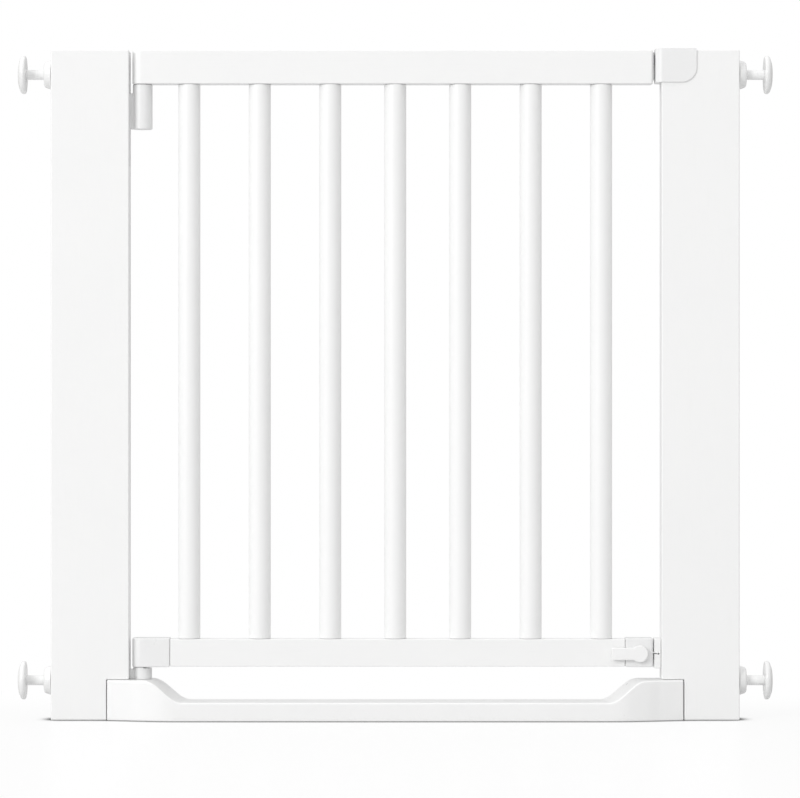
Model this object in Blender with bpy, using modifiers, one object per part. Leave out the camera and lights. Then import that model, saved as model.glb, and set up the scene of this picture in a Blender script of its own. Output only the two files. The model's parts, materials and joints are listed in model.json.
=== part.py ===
"""White pressure-fit safety gate: posts, threshold, swinging leaf, latches and pressure pads.

Units are metres. X runs across the doorway, Y through it and Z up. The origin is on the floor, under the
middle of the threshold, in the middle plane of the posts. The leaf is closed and both bolts are drawn back.
"""
import math

import bmesh
import bpy
from mathutils import Matrix, Vector

# Frame
FRAME_WIDTH = 0.750             # over the posts' outer faces
POST_WIDTH = 0.085
POST_DEPTH = 0.036
POST_HEIGHT = 0.730
POST_EDGE = 0.0008              # bevel on the posts' edges

# Threshold
NOTCH_DEPTH = 0.024             # how far each end block runs into its post
BLOCK_HEIGHT = 0.044
BAR_HEIGHT = 0.0205
BLOCK_FRONT = 0.0195            # front face at the notch, ahead of the middle plane
BAR_FRONT = 0.038               # front face of the bar, ahead of the middle plane
FLARE = 0.27                    # how fast the front face runs out along the end blocks
FLARE_BLEND = 0.0028            # half the depth over which the flare rounds into the bar's face
CURVE_TOP = 0.021               # from the post's inner face to the start of the S-curve
CURVE_RUN = 0.0415              # length of the S-curve along X
CURVE_SKEW = 0.004              # the S-curve starts this much earlier at the front, later at the back
CURVE_STEPS = 9
THRESHOLD_EDGE = 0.0025         # rounding of the upper edges
THRESHOLD_SKIN = 0.0045         # wall around the pockets underneath
POCKETS_PER_SIDE = 4
POCKET_RIB = 0.005
CENTRE_WEB = 0.016              # solid web under the middle of the bar

# Leaf
RAIL_DEPTH = 0.025
TOP_RAIL_HEIGHT = 0.0365
BOTTOM_RAIL_HEIGHT = 0.030
BOTTOM_RAIL_LOW = 0.058         # underside of the bottom rail
RAIL_EDGE = 0.001
RAIL_CORNER = 0.003             # upright corners at the latch end
LATCH_GAP = 0.009               # leaf's end to the right post
SPINDLE_DIAMETER = 0.024
SPINDLE_PITCH_INNER = 0.071     # middle bar to the next
SPINDLE_PITCH = 0.077           # between the outer bars
SPINDLES_PER_SIDE = 3
TENON_DIAMETER = 0.014
TENON_LENGTH = 0.015
CAP_PROUD = 0.0008              # end caps over the rail, front and back
CAP_PROUD_TOP = 0.0010
CAP_PROUD_LOW = 0.0005
HINGE_CAP_LENGTH = 0.041
LATCH_CAP_LENGTH = 0.030
RAIL_TENON = (0.019, 0.023)     # depth and height of the bottom rail's end tenons
HINGE_TENON_LENGTH = 0.012
LATCH_TENON_LENGTH = 0.007

# Pivots
HINGE_END_REACH = 0.0108        # leaf's end beyond the axis
SWING_CLEARANCE = 0.0007        # between the open leaf and the post
PIN_DIAMETER = 0.008
BUSH_DIAMETER = 0.013
BUSH_LENGTH = 0.021
TOP_BARREL_DIAMETER = 0.0215
TOP_BARREL_LENGTH = 0.049
WEB_THICKNESS = 0.010
TOP_WEB_HEIGHT = 0.0395
BRACKET_PLATE = (0.0024, 0.018, 0.080)   # thickness, depth and height of the plate let into the post
BRACKET_SCREW_PITCH = 0.016
SOCKET_DIAMETER = 0.0204
SOCKET_RIM_CUT = 0.0012         # the socket's outer half is this much lower
SPIGOT_DIAMETER = 0.010
SPIGOT_LENGTH = 0.013

# Latches
LATCH_TRAVEL = 0.007
LATCH_BOLT = (0.028, 0.0088, 0.011)      # length, depth and height
LATCH_BOLT_DROP = 0.010                  # top of the post to the middle of the bolt
LATCH_BOLT_SETBACK = 0.0005              # bolt's tip inside the catch cap's end
CATCH_CAP = (0.0445, 0.0366)             # width and height
CATCH_CAP_OVERHANG = 0.0065              # beyond the right post's inner face
CATCH_CAP_WALL = 0.0013
CATCH_CAP_CORNER = 0.016
CATCH_CAP_ROUND = 0.0085
SLIDER_LENGTH = 0.013
SLIDER_DEPTH = 0.011
SLIDER_SETBACK = 0.016                   # bolt's tip to the slider's near end
SLIDER_PEG_DIAMETER = 0.0045
SPRING_DIAMETER = 0.0068
SPRING_WIRE = 0.0009
SPRING_TURNS = 5
SPRING_SIDES = 8                         # straight lengths in each turn
SPRING_LENGTH = 0.0125
STRIKE_PLATE = (0.0032, 0.016, 0.030)    # thickness, depth and height
STRIKE_PROUD = 0.0016
LOWER_CATCH = (0.0074, 0.022, 0.0327)    # thickness, depth and height
LOWER_CATCH_LOW = 0.056
LOWER_CATCH_SLIT = 0.0012
LOWER_CATCH_SLIT_DEPTH = 0.0047
LOWER_CATCH_EDGE = 0.0008
LOCK_INSET = 0.0148                      # lever's axis to the leaf's latch end
LOCK_HEIGHT = 0.0722
LEVER_BOSS_DIAMETER = 0.0182
LEVER_THICKNESS = 0.0058
LEVER_REACH = 0.0306                     # axis to the end of the tab
LEVER_TAB_HEIGHT = 0.0134
LEVER_HUB_DIAMETER = 0.0144
LEVER_STUD_DIAMETER = 0.0036
LEVER_CRANK = 0.0046                     # axis to the stud
LOWER_BOLT = (0.0217, 0.0095, 0.0112)    # length, depth and height
LOWER_BOLT_LOW = 0.066

# Pressure pads
PAD_HEIGHTS = {"bottom": 0.0425, "top": POST_HEIGHT - 0.026}
PAD_DIAMETER = 0.042
PAD_THICKNESS = 0.0066
PAD_RIM = 0.0026                # rounding of the disc's rims
PAD_STANDOFF = 0.0282           # post's outer face to the disc's inner face
PAD_SOCKET = 0.0035             # how deep the rod sits in the disc
RUBBER_DIAMETER = 0.032
RUBBER_THICKNESS = 0.0030
RUBBER_RECESS = 0.0013
RUBBER_EDGE = 0.0011
ROD_DIAMETER = 0.011
ROD_LENGTH = 0.0715
NUT_DIAMETER = 0.0316
NUT_FACE_DIAMETER = 0.0235
NUT_THICKNESS = 0.0080
NUT_BAND = 0.0016               # straight rim next to the post
NUT_SHOULDER = (0.0009, 0.0061)          # inside the rim's radius, and height above the post
NUT_SEAT = 0.0004               # hand nut to the post's face
SLEEVE_DIAMETER = 0.015
SLEEVE_LENGTH = 0.048
ROD_HOLE_DEPTH = 0.057

# Screws: length, head diameter and shank diameter
THRESHOLD_SCREW = (0.063, 0.0090, 0.0044)
THRESHOLD_SCREW_SINK = 0.020    # how far its head lies inside the post's outer face
THRESHOLD_SCREW_HEIGHT = 0.0150
SMALL_SCREW = (0.018, 0.0070, 0.0034)
CAP_SCREW = (0.014, 0.0060, 0.0030)
STRIKE_SCREW = (0.014, 0.0050, 0.0026)
SCREW_RIM = 0.0004              # straight edge of a countersunk head

# Clearances
GAP = 0.0003                    # between pieces that touch or are glued
RUN = 0.00015                   # radial, between pieces that turn or slide in each other
THROUGH = 0.002                 # how far a cutter runs past the face it opens
COUNTERBORE_PLAY = 0.0006       # radial, around a sunk screw head

# Sides of round pieces
FINE = 24
ROUND = 18
SMALL = 10
ARC_STEPS = 5

# Positions that follow from the sizes above
POST_INNER = FRAME_WIDTH / 2 - POST_WIDTH
POST_OUTER = FRAME_WIDTH / 2
POST_HALF = POST_DEPTH / 2
THRESHOLD_HALF = POST_INNER + NOTCH_DEPTH
CAP_HALF = RAIL_DEPTH / 2 + CAP_PROUD
HINGE_X = CAP_HALF + SWING_CLEARANCE - POST_INNER
LEAF_LEFT = HINGE_X - HINGE_END_REACH
LEAF_RIGHT = POST_INNER - LATCH_GAP
TOP_RAIL_LOW = POST_HEIGHT - TOP_RAIL_HEIGHT
BOTTOM_RAIL_TOP = BOTTOM_RAIL_LOW + BOTTOM_RAIL_HEIGHT
CAP_LOW = BOTTOM_RAIL_LOW - CAP_PROUD_LOW
CAP_TOP = BOTTOM_RAIL_TOP + CAP_PROUD_TOP
HINGE_CAP_END = LEAF_LEFT + HINGE_CAP_LENGTH
LATCH_CAP_START = LEAF_RIGHT - LATCH_CAP_LENGTH
RAIL_MID = (BOTTOM_RAIL_LOW + BOTTOM_RAIL_TOP) / 2
PIN_RADIUS = PIN_DIAMETER / 2
BUSH_RADIUS = BUSH_DIAMETER / 2
TOP_BARREL_TOP = TOP_RAIL_LOW - GAP
SOCKET_LOW = BLOCK_HEIGHT + GAP
SOCKET_TOP = CAP_LOW - GAP
CATCH_LEFT = POST_INNER - CATCH_CAP_OVERHANG
CATCH_RIGHT = CATCH_LEFT + CATCH_CAP[0]
CATCH_TOP = POST_HEIGHT + GAP + CATCH_CAP_WALL
CATCH_LOW = CATCH_TOP - CATCH_CAP[1]
CATCH_HALF = POST_HALF + GAP + CATCH_CAP_WALL
BOLT_MID = POST_HEIGHT - LATCH_BOLT_DROP
BOLT_TIP = CATCH_LEFT + LATCH_BOLT_SETBACK
BOLT_END = BOLT_TIP + LATCH_BOLT[0]
BOLT_WAY = (LATCH_BOLT[1] / 2 + 4 * GAP, LATCH_BOLT[2] / 2 + 2 * GAP)    # half depth and height of its ways
STRIKE_FACE = LEAF_RIGHT + STRIKE_PROUD
LOWER_CATCH_FACE = POST_INNER - GAP - LOWER_CATCH[0]
LOCK_X = LEAF_RIGHT - LOCK_INSET
LEVER_BACK = -CAP_HALF - GAP
LOWER_BOLT_TIP = LEAF_RIGHT - GAP
LOWER_BOLT_TRAVEL = LEVER_CRANK * math.sqrt(2)
HUB_BACK = -LOWER_BOLT[1] / 2 - 2 * GAP
NUT_INNER = POST_OUTER + NUT_SEAT
PAD_INNER = POST_OUTER + PAD_STANDOFF
SPINDLE_PLACES = [0.0]
for step in range(SPINDLES_PER_SIDE):
    offset = SPINDLE_PITCH_INNER + step * SPINDLE_PITCH
    SPINDLE_PLACES += [-offset, offset]
SPINDLE_PLACES.sort()

# Finishes: base colour, roughness and metallic value
FINISHES = {
    "white_lacquer": ((0.86, 0.86, 0.85), 0.42, 0.0),
    "white_plastic": ((0.88, 0.88, 0.87), 0.35, 0.0),
    "white_rod": ((0.84, 0.84, 0.84), 0.40, 0.0),
    "pale_rubber": ((0.74, 0.74, 0.73), 0.75, 0.0),
    "zinc_steel": ((0.62, 0.62, 0.60), 0.35, 1.0),
    "pale_bush": ((0.70, 0.70, 0.68), 0.50, 0.0),
}


# Helpers

def clear_scene():
    for old in list(bpy.data.objects):
        bpy.data.objects.remove(old, do_unlink=True)


def make_collection(name):
    collection = bpy.data.collections.new(name)
    bpy.context.scene.collection.children.link(collection)
    return collection


def move_to(obj, collection):
    for old in list(obj.users_collection):
        old.objects.unlink(obj)
    collection.objects.link(obj)


def make_material(piece_name, finish):
    colour, roughness, metallic = FINISHES[finish]
    material = bpy.data.materials.new(piece_name + "_" + finish)
    material.use_nodes = True
    shader = material.node_tree.nodes["Principled BSDF"]
    shader.inputs["Base Color"].default_value = (*colour, 1.0)
    shader.inputs["Roughness"].default_value = roughness
    shader.inputs["Metallic"].default_value = metallic
    return material


def finish_piece(obj, finish):
    """Turns a worked shape into a part with its own material."""
    obj.data.materials.clear()
    obj.data.materials.append(make_material(obj.name, finish))
    obj.data.shade_smooth()
    obj.data.set_sharp_from_angle(angle=math.radians(35))
    move_to(obj, parts)
    return obj


def as_cutter(obj):
    obj.hide_render = True
    obj.display_type = "WIRE"
    move_to(obj, cutters)
    return obj


def combine(target, tool, operation):
    modifier = target.modifiers.new(operation.lower() + "_" + tool.name, "BOOLEAN")
    modifier.operation = operation
    modifier.object = as_cutter(tool)
    return target


def cut(target, *tools):
    for tool in tools:
        combine(target, tool, "DIFFERENCE")
    return target


def join(target, *tools):
    for tool in tools:
        combine(target, tool, "UNION")
    return target


def bevel_edges(obj, width, segments=1, angle=50):
    modifier = obj.modifiers.new("edges", "BEVEL")
    modifier.width = width
    modifier.segments = segments
    modifier.limit_method = "ANGLE"
    modifier.angle_limit = math.radians(angle)
    return obj


def add_box(name, low, high):
    low, high = Vector(low), Vector(high)
    bpy.ops.mesh.primitive_cube_add(size=1, location=(low + high) / 2)
    box = bpy.context.object
    box.name = name
    box.scale = high - low
    bpy.ops.object.transform_apply(location=False, rotation=False, scale=True)
    return box


def aim(obj, start, direction):
    """Puts the object's origin at start and its local Z along direction."""
    obj.location = start
    obj.rotation_euler = Vector(direction).to_track_quat("Z", "Y").to_euler()
    return obj


def add_rod(name, radius, start, end, sides=ROUND):
    start, end = Vector(start), Vector(end)
    bpy.ops.mesh.primitive_cylinder_add(vertices=sides, radius=radius, depth=(end - start).length)
    rod = bpy.context.object
    rod.name = name
    return aim(rod, (start + end) / 2, end - start)


def turn_profile(name, points, start, direction, sides=ROUND):
    """Turns (radius, height) points, given from the top down the outside, about the direction."""
    mesh = bpy.data.meshes.new(name)
    edges = [(i, i + 1) for i in range(len(points) - 1)]
    if points[0] == points[-1]:
        points = points[:-1]
        edges[-1] = (len(points) - 1, 0)
    mesh.from_pydata([(radius, 0.0, height) for radius, height in points], edges, [])
    turned = bpy.data.objects.new(name, mesh)
    bpy.context.scene.collection.objects.link(turned)
    screw = turned.modifiers.new("turn", "SCREW")
    screw.steps = screw.render_steps = sides
    screw.use_merge_vertices = True
    screw.merge_threshold = 0.00001
    screw.use_smooth_shade = True
    return aim(turned, start, direction)


def arc(centre, radius, start, end, steps=ARC_STEPS):
    """Points on an arc, angles in degrees, anticlockwise positive."""
    angles = [math.radians(start + (end - start) * i / steps) for i in range(steps + 1)]
    return [(centre[0] + radius * math.cos(a), centre[1] + radius * math.sin(a)) for a in angles]


def extrude_outline(name, points, low, high, upright=False):
    """A flat outline made solid from low to high: along Z, or along Y when drawn upright in X and Z."""
    curve = bpy.data.curves.new(name, "CURVE")
    curve.dimensions = "2D"
    curve.fill_mode = "BOTH"
    curve.extrude = (high - low) / 2
    spline = curve.splines.new("POLY")
    spline.points.add(len(points) - 1)
    for point, (across, along) in zip(spline.points, points):
        point.co = (across, along, 0, 1)
    spline.use_cyclic_u = True
    outline = bpy.data.objects.new(name + "_outline", curve)
    bpy.context.scene.collection.objects.link(outline)
    middle = (low + high) / 2
    if upright:
        outline.rotation_euler = (math.pi / 2, 0, 0)
        outline.location = (0, middle, 0)
    else:
        outline.location = (0, 0, middle)
    bpy.context.view_layer.update()
    depsgraph = bpy.context.evaluated_depsgraph_get()
    mesh = bpy.data.meshes.new_from_object(outline.evaluated_get(depsgraph))
    shape = bmesh.new()
    shape.from_mesh(mesh)
    bmesh.ops.remove_doubles(shape, verts=shape.verts, dist=0.00001)
    bmesh.ops.recalc_face_normals(shape, faces=shape.faces)
    shape.to_mesh(mesh)
    shape.free()
    solid = bpy.data.objects.new(name, mesh)
    bpy.context.scene.collection.objects.link(solid)
    solid.matrix_world = outline.matrix_world.copy()
    bpy.data.objects.remove(outline, do_unlink=True)
    bpy.data.curves.remove(curve)
    return solid


def make_pivot(name, place, parent=None):
    pivot = bpy.data.objects.new(name, None)
    pivot.empty_display_size = 0.03
    pivot.location = place
    parts.objects.link(pivot)
    if parent:
        hang(parent, pivot)
    return pivot


def hang(pivot, *pieces):
    """Parents pieces to a pivot without moving them."""
    for piece in pieces:
        piece.parent = pivot
        piece.matrix_parent_inverse = Matrix.Translation(pivot.location).inverted()


def screw_profile(size, play=0.0):
    """Countersunk screw, head up: play widens it into the shape of its hole."""
    length, head, shank = size
    head_radius = head / 2 + play
    shank_radius = shank / 2 + play
    taper = (head - shank) / 2
    return [
        (0.0, play),
        (head_radius, play),
        (head_radius, -SCREW_RIM),
        (shank_radius, -taper - SCREW_RIM),
        (shank_radius, -length + shank_radius),
        (0.0, -length - play),
    ]


def make_screw(name, size, head, direction):
    """direction is the way the screw is driven."""
    backwards = -Vector(direction)
    return finish_piece(turn_profile(name, screw_profile(size), head, backwards, SMALL), "zinc_steel")


def screw_hole(name, size, head, direction):
    backwards = -Vector(direction)
    return turn_profile(name + "_hole", screw_profile(size, GAP), head, backwards, SMALL)


# Frame

def post_side(x, side):
    return (x[0], x[1]) if side > 0 else (-x[1], -x[0])


def side_box(name, side, across, deep, up):
    """A box given by its distance from the middle of the gate, on the left (-1) or right (1) side."""
    low_x, high_x = post_side(across, side)
    return add_box(name, (low_x, deep[0], up[0]), (high_x, deep[1], up[1]))


def make_post(name, side):
    post = side_box(name, side, (POST_INNER, POST_OUTER), (-POST_HALF, POST_HALF), (0, POST_HEIGHT))
    bevel_edges(post, POST_EDGE)
    notch = side_box(name + "_notch", side, (POST_INNER - THROUGH, THRESHOLD_HALF + GAP),
                     (-POST_DEPTH, POST_DEPTH), (-THROUGH, BLOCK_HEIGHT + GAP))
    cut(post, notch)
    for level, height in PAD_HEIGHTS.items():
        hole = add_rod(name + "_rod_hole_" + level, SLEEVE_DIAMETER / 2 + GAP,
                       (side * (POST_OUTER + THROUGH), 0, height),
                       (side * (POST_OUTER - ROD_HOLE_DEPTH), 0, height))
        cut(post, hole)
    seat = side * (POST_OUTER - THRESHOLD_SCREW_SINK)
    counterbore = add_rod(name + "_counterbore", THRESHOLD_SCREW[1] / 2 + COUNTERBORE_PLAY,
                          (side * (POST_OUTER + THROUGH), 0, THRESHOLD_SCREW_HEIGHT),
                          (seat - side * GAP, 0, THRESHOLD_SCREW_HEIGHT), SMALL)
    return cut(post, counterbore)


def front_face(across):
    """Depth of the threshold's front face, which flares out along the end blocks into the bar."""
    flared = BLOCK_FRONT + (THRESHOLD_HALF - abs(across)) * FLARE
    start = BAR_FRONT - FLARE_BLEND
    if flared <= start:
        return flared
    if flared >= BAR_FRONT + FLARE_BLEND:
        return BAR_FRONT
    return flared - (flared - start) ** 2 / (4 * FLARE_BLEND)


def threshold_stations():
    """Distance from the middle, top height and skew, from the right-hand joint to the middle."""
    curve_start = POST_INNER - CURVE_TOP
    stations = [(THRESHOLD_HALF, BLOCK_HEIGHT, 0.0), (POST_INNER, BLOCK_HEIGHT, 0.0)]
    drop = BLOCK_HEIGHT - BAR_HEIGHT
    for i in range(CURVE_STEPS + 1):
        share = i / CURVE_STEPS
        height = BLOCK_HEIGHT - drop * (1 - math.cos(math.pi * share)) / 2
        stations.append((curve_start - CURVE_RUN * share, height, CURVE_SKEW))
    return stations


def threshold_section(across, height, skew):
    """One cross-section, from the front foot over the top to the back foot."""
    front, back = -front_face(across), POST_HALF
    edge = THRESHOLD_EDGE
    soft = edge * (1 - math.sqrt(0.5))
    outline = [
        (front, 0), (front, height - edge), (front + soft, height - soft), (front + edge, height),
        (back - edge, height), (back - soft, height - soft), (back, height - edge), (back, 0),
    ]
    outward = math.copysign(skew, across)
    middle = (front + back) / 2
    half = (back - front) / 2
    return [(across + outward * (middle - y) / half, y, z) for y, z in outline]


def make_threshold():
    right = threshold_stations()
    left = [(-across, height, skew) for across, height, skew in right]
    shape = bmesh.new()
    rings = []
    for station in left + right[::-1]:
        rings.append([shape.verts.new(point) for point in threshold_section(*station)])
    for near, far in zip(rings, rings[1:]):
        for i in range(len(near)):
            j = (i + 1) % len(near)
            shape.faces.new((near[i], near[j], far[j], far[i]))
    shape.faces.new(rings[0])
    shape.faces.new(rings[-1][::-1])
    bmesh.ops.recalc_face_normals(shape, faces=shape.faces)
    mesh = bpy.data.meshes.new("threshold")
    shape.to_mesh(mesh)
    shape.free()
    threshold = bpy.data.objects.new("threshold", mesh)
    bpy.context.scene.collection.objects.link(threshold)
    for pocket in threshold_pockets():
        cut(threshold, pocket)
    spigot_hole = add_rod("spigot_hole", SPIGOT_DIAMETER / 2 + GAP, (HINGE_X, 0, BLOCK_HEIGHT + THROUGH),
                          (HINGE_X, 0, BLOCK_HEIGHT - SPIGOT_LENGTH - 2 * GAP), SMALL)
    return cut(threshold, spigot_hole)


def threshold_pockets():
    """Pockets underneath the bar, with ribs between them and a solid web in the middle."""
    inner = CENTRE_WEB / 2
    outer = POST_INNER - CURVE_TOP - CURVE_RUN - CURVE_SKEW
    pitch = (outer - inner + POCKET_RIB) / POCKETS_PER_SIDE
    pockets = []
    for side in (-1, 1):
        for i in range(POCKETS_PER_SIDE):
            start = inner + i * pitch
            pockets.append(side_box(f"threshold_pocket_{side}_{i}", side,
                                    (start, start + pitch - POCKET_RIB),
                                    (-BAR_FRONT + THRESHOLD_SKIN, POST_HALF - THRESHOLD_SKIN),
                                    (-THROUGH, BAR_HEIGHT - THRESHOLD_SKIN)))
    return pockets


def make_frame():
    left_post = make_post("left_post", -1)
    right_post = make_post("right_post", 1)
    threshold = make_threshold()
    for side, post in ((-1, left_post), (1, right_post)):
        name = "threshold_screw_" + ("left" if side < 0 else "right")
        head = (side * (POST_OUTER - THRESHOLD_SCREW_SINK), 0, THRESHOLD_SCREW_HEIGHT)
        make_screw(name, THRESHOLD_SCREW, head, (-side, 0, 0))
        hole = screw_hole(name, THRESHOLD_SCREW, head, (-side, 0, 0))
        cut(post, hole)
        cut(threshold, hole)
    finish_piece(threshold, "white_plastic")
    return finish_piece(left_post, "white_lacquer"), finish_piece(right_post, "white_lacquer"), threshold


# Leaf

def hinge_end(half, reach):
    """Outline points of an end that is round about the hinge axis and cut flat at its reach."""
    flat = math.degrees(math.acos(-reach / half))
    centre = (HINGE_X, 0)
    return arc(centre, half, 90, flat) + arc(centre, half, 360 - flat, 270)


def latch_end(right, half):
    corner = RAIL_CORNER
    return (arc((right - corner, corner - half), corner, 270, 360, 3)
            + arc((right - corner, half - corner), corner, 0, 90, 3))


def make_top_rail():
    outline = hinge_end(RAIL_DEPTH / 2, HINGE_END_REACH) + latch_end(LEAF_RIGHT, RAIL_DEPTH / 2)
    rail = extrude_outline("top_rail", outline, TOP_RAIL_LOW, POST_HEIGHT)
    bevel_edges(rail, RAIL_EDGE)
    bush_hole = add_rod("top_bush_hole", BUSH_RADIUS + GAP, (HINGE_X, 0, TOP_RAIL_LOW - THROUGH),
                        (HINGE_X, 0, TOP_RAIL_LOW + BUSH_LENGTH + 2 * GAP))
    thick, deep, high = STRIKE_PLATE
    plate_top = BOLT_MID + deep / 2
    strike_seat = add_box("strike_seat",
                          (STRIKE_FACE - thick - GAP, -deep / 2 - GAP, plate_top - high - GAP),
                          (LEAF_RIGHT + THROUGH, deep / 2 + GAP, plate_top + GAP))
    way_half, way_high = BOLT_WAY
    bolt_pocket = add_box("bolt_pocket",
                          (BOLT_TIP - LATCH_TRAVEL - THROUGH, -way_half, BOLT_MID - way_high),
                          (LEAF_RIGHT + THROUGH, way_half, BOLT_MID + way_high))
    return cut(rail, bush_hole, strike_seat, bolt_pocket)


def make_bottom_rail():
    half = RAIL_DEPTH / 2
    start, end = HINGE_CAP_END + GAP, LATCH_CAP_START - GAP
    rail = add_box("bottom_rail", (start, -half, BOTTOM_RAIL_LOW), (end, half, BOTTOM_RAIL_TOP))
    bevel_edges(rail, RAIL_EDGE)
    deep, high = RAIL_TENON[0] / 2, RAIL_TENON[1] / 2
    overlap = 2 * RAIL_EDGE
    left = add_box("left_rail_tenon", (start - HINGE_TENON_LENGTH, -deep, RAIL_MID - high),
                   (start + overlap, deep, RAIL_MID + high))
    right = add_box("right_rail_tenon", (end - overlap, -deep, RAIL_MID - high),
                    (end + LATCH_TENON_LENGTH, deep, RAIL_MID + high))
    return join(rail, left, right)


def make_spindle(name, across):
    top, low = TOP_RAIL_LOW - GAP, BOTTOM_RAIL_TOP + GAP
    radius, tenon = SPINDLE_DIAMETER / 2, TENON_DIAMETER / 2
    profile = [(0, top + TENON_LENGTH), (tenon, top + TENON_LENGTH), (tenon, top), (radius, top),
               (radius, low), (tenon, low), (tenon, low - TENON_LENGTH), (0, low - TENON_LENGTH)]
    return finish_piece(turn_profile(name, profile, (across, 0, 0), (0, 0, 1)), "white_lacquer")


def cut_mortises(top_rail, bottom_rail):
    radius = TENON_DIAMETER / 2 + GAP
    for number, across in enumerate(SPINDLE_PLACES, 1):
        upper = add_rod(f"upper_mortise_{number}", radius, (across, 0, TOP_RAIL_LOW - THROUGH),
                        (across, 0, TOP_RAIL_LOW + TENON_LENGTH + GAP))
        lower = add_rod(f"lower_mortise_{number}", radius, (across, 0, BOTTOM_RAIL_TOP + THROUGH),
                        (across, 0, BOTTOM_RAIL_TOP - TENON_LENGTH - GAP))
        cut(top_rail, upper)
        cut(bottom_rail, lower)


def make_end_caps(bottom_rail):
    """Caps on both ends of the bottom rail, each pinned to its tenon by a screw from behind."""
    deep, high = RAIL_TENON[0] / 2 + GAP, RAIL_TENON[1] / 2 + GAP
    hinge_outline = hinge_end(CAP_HALF, HINGE_END_REACH)
    hinge_outline += [(HINGE_CAP_END, -CAP_HALF), (HINGE_CAP_END, CAP_HALF)]
    hinge_cap = extrude_outline("hinge_end_cap", hinge_outline, CAP_LOW, CAP_TOP)
    bevel_edges(hinge_cap, RAIL_EDGE)
    cut(hinge_cap,
        add_box("hinge_cap_socket", (HINGE_CAP_END - HINGE_TENON_LENGTH - GAP, -deep, RAIL_MID - high),
                (HINGE_CAP_END + THROUGH, deep, RAIL_MID + high)),
        add_rod("lower_bush_hole", BUSH_RADIUS + GAP, (HINGE_X, 0, CAP_LOW - THROUGH),
                (HINGE_X, 0, CAP_LOW + BUSH_LENGTH + 2 * GAP)))
    latch_outline = [(LATCH_CAP_START, CAP_HALF), (LATCH_CAP_START, -CAP_HALF)]
    latch_outline += latch_end(LEAF_RIGHT, CAP_HALF)
    latch_cap = extrude_outline("latch_end_cap", latch_outline, CAP_LOW, CAP_TOP)
    bevel_edges(latch_cap, RAIL_EDGE)
    cut(latch_cap,
        add_box("latch_cap_socket", (LATCH_CAP_START - THROUGH, -deep, RAIL_MID - high),
                (LATCH_CAP_START + LATCH_TENON_LENGTH + GAP, deep, RAIL_MID + high)))
    screws = []
    for label, cap, middle in (("hinge", hinge_cap, HINGE_CAP_END - HINGE_TENON_LENGTH / 2),
                               ("latch", latch_cap, LATCH_CAP_START + LATCH_TENON_LENGTH / 2)):
        name = label + "_cap_screw"
        head = (middle, CAP_HALF - GAP, RAIL_MID)
        screws.append(make_screw(name, CAP_SCREW, head, (0, -1, 0)))
        hole = screw_hole(name, CAP_SCREW, head, (0, -1, 0))
        cut(cap, hole)
        cut(bottom_rail, hole)
    return hinge_cap, latch_cap, screws


def make_strike_plate(top_rail):
    thick, deep, high = STRIKE_PLATE
    top = BOLT_MID + deep / 2
    back = STRIKE_FACE - thick
    plate = add_box("strike_plate", (back, -deep / 2, top - high), (STRIKE_FACE, deep / 2, top))
    way_half, way_high = BOLT_WAY
    window = add_box("strike_window", (back - THROUGH, -way_half, BOLT_MID - way_high),
                     (STRIKE_FACE + THROUGH, way_half, BOLT_MID + way_high))
    cut(plate, window)
    head = (STRIKE_FACE - GAP, 0, top - high + deep / 3)
    screw = make_screw("strike_screw", STRIKE_SCREW, head, (-1, 0, 0))
    hole = screw_hole("strike_screw", STRIKE_SCREW, head, (-1, 0, 0))
    cut(plate, hole)
    cut(top_rail, hole)
    return finish_piece(plate, "zinc_steel"), screw


def make_leaf():
    top_rail = make_top_rail()
    bottom_rail = make_bottom_rail()
    cut_mortises(top_rail, bottom_rail)
    hinge_cap, latch_cap, cap_screws = make_end_caps(bottom_rail)
    strike_plate, strike_screw = make_strike_plate(top_rail)
    cut_lock_housing(latch_cap)
    for rail in (top_rail, bottom_rail):
        finish_piece(rail, "white_lacquer")
    for cap in (hinge_cap, latch_cap):
        finish_piece(cap, "white_plastic")
    spindles = [make_spindle(f"spindle_{i}", across) for i, across in enumerate(SPINDLE_PLACES, 1)]
    bushes = [make_bush("top_hinge_bush", TOP_RAIL_LOW + GAP),
              make_bush("lower_pivot_bush", CAP_LOW + GAP)]
    leaf_axis = make_pivot("leaf_axis", (HINGE_X, 0, 0))
    hang(leaf_axis, top_rail, bottom_rail, hinge_cap, latch_cap, strike_plate, strike_screw,
         *cap_screws, *spindles, *bushes)
    return leaf_axis


# Pivots

def make_bush(name, low):
    outer, inner = BUSH_RADIUS, PIN_RADIUS + RUN
    profile = [(inner, low + BUSH_LENGTH), (outer, low + BUSH_LENGTH), (outer, low), (inner, low),
               (inner, low + BUSH_LENGTH)]
    return finish_piece(turn_profile(name, profile, (HINGE_X, 0, 0), (0, 0, 1), FINE), "pale_bush")


def make_pin(name, low, high):
    chamfer = PIN_RADIUS / 4
    profile = [(0, high), (PIN_RADIUS - chamfer, high), (PIN_RADIUS, high - chamfer),
               (PIN_RADIUS, low), (0, low)]
    return finish_piece(turn_profile(name, profile, (HINGE_X, 0, 0), (0, 0, 1), FINE), "zinc_steel")


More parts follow.
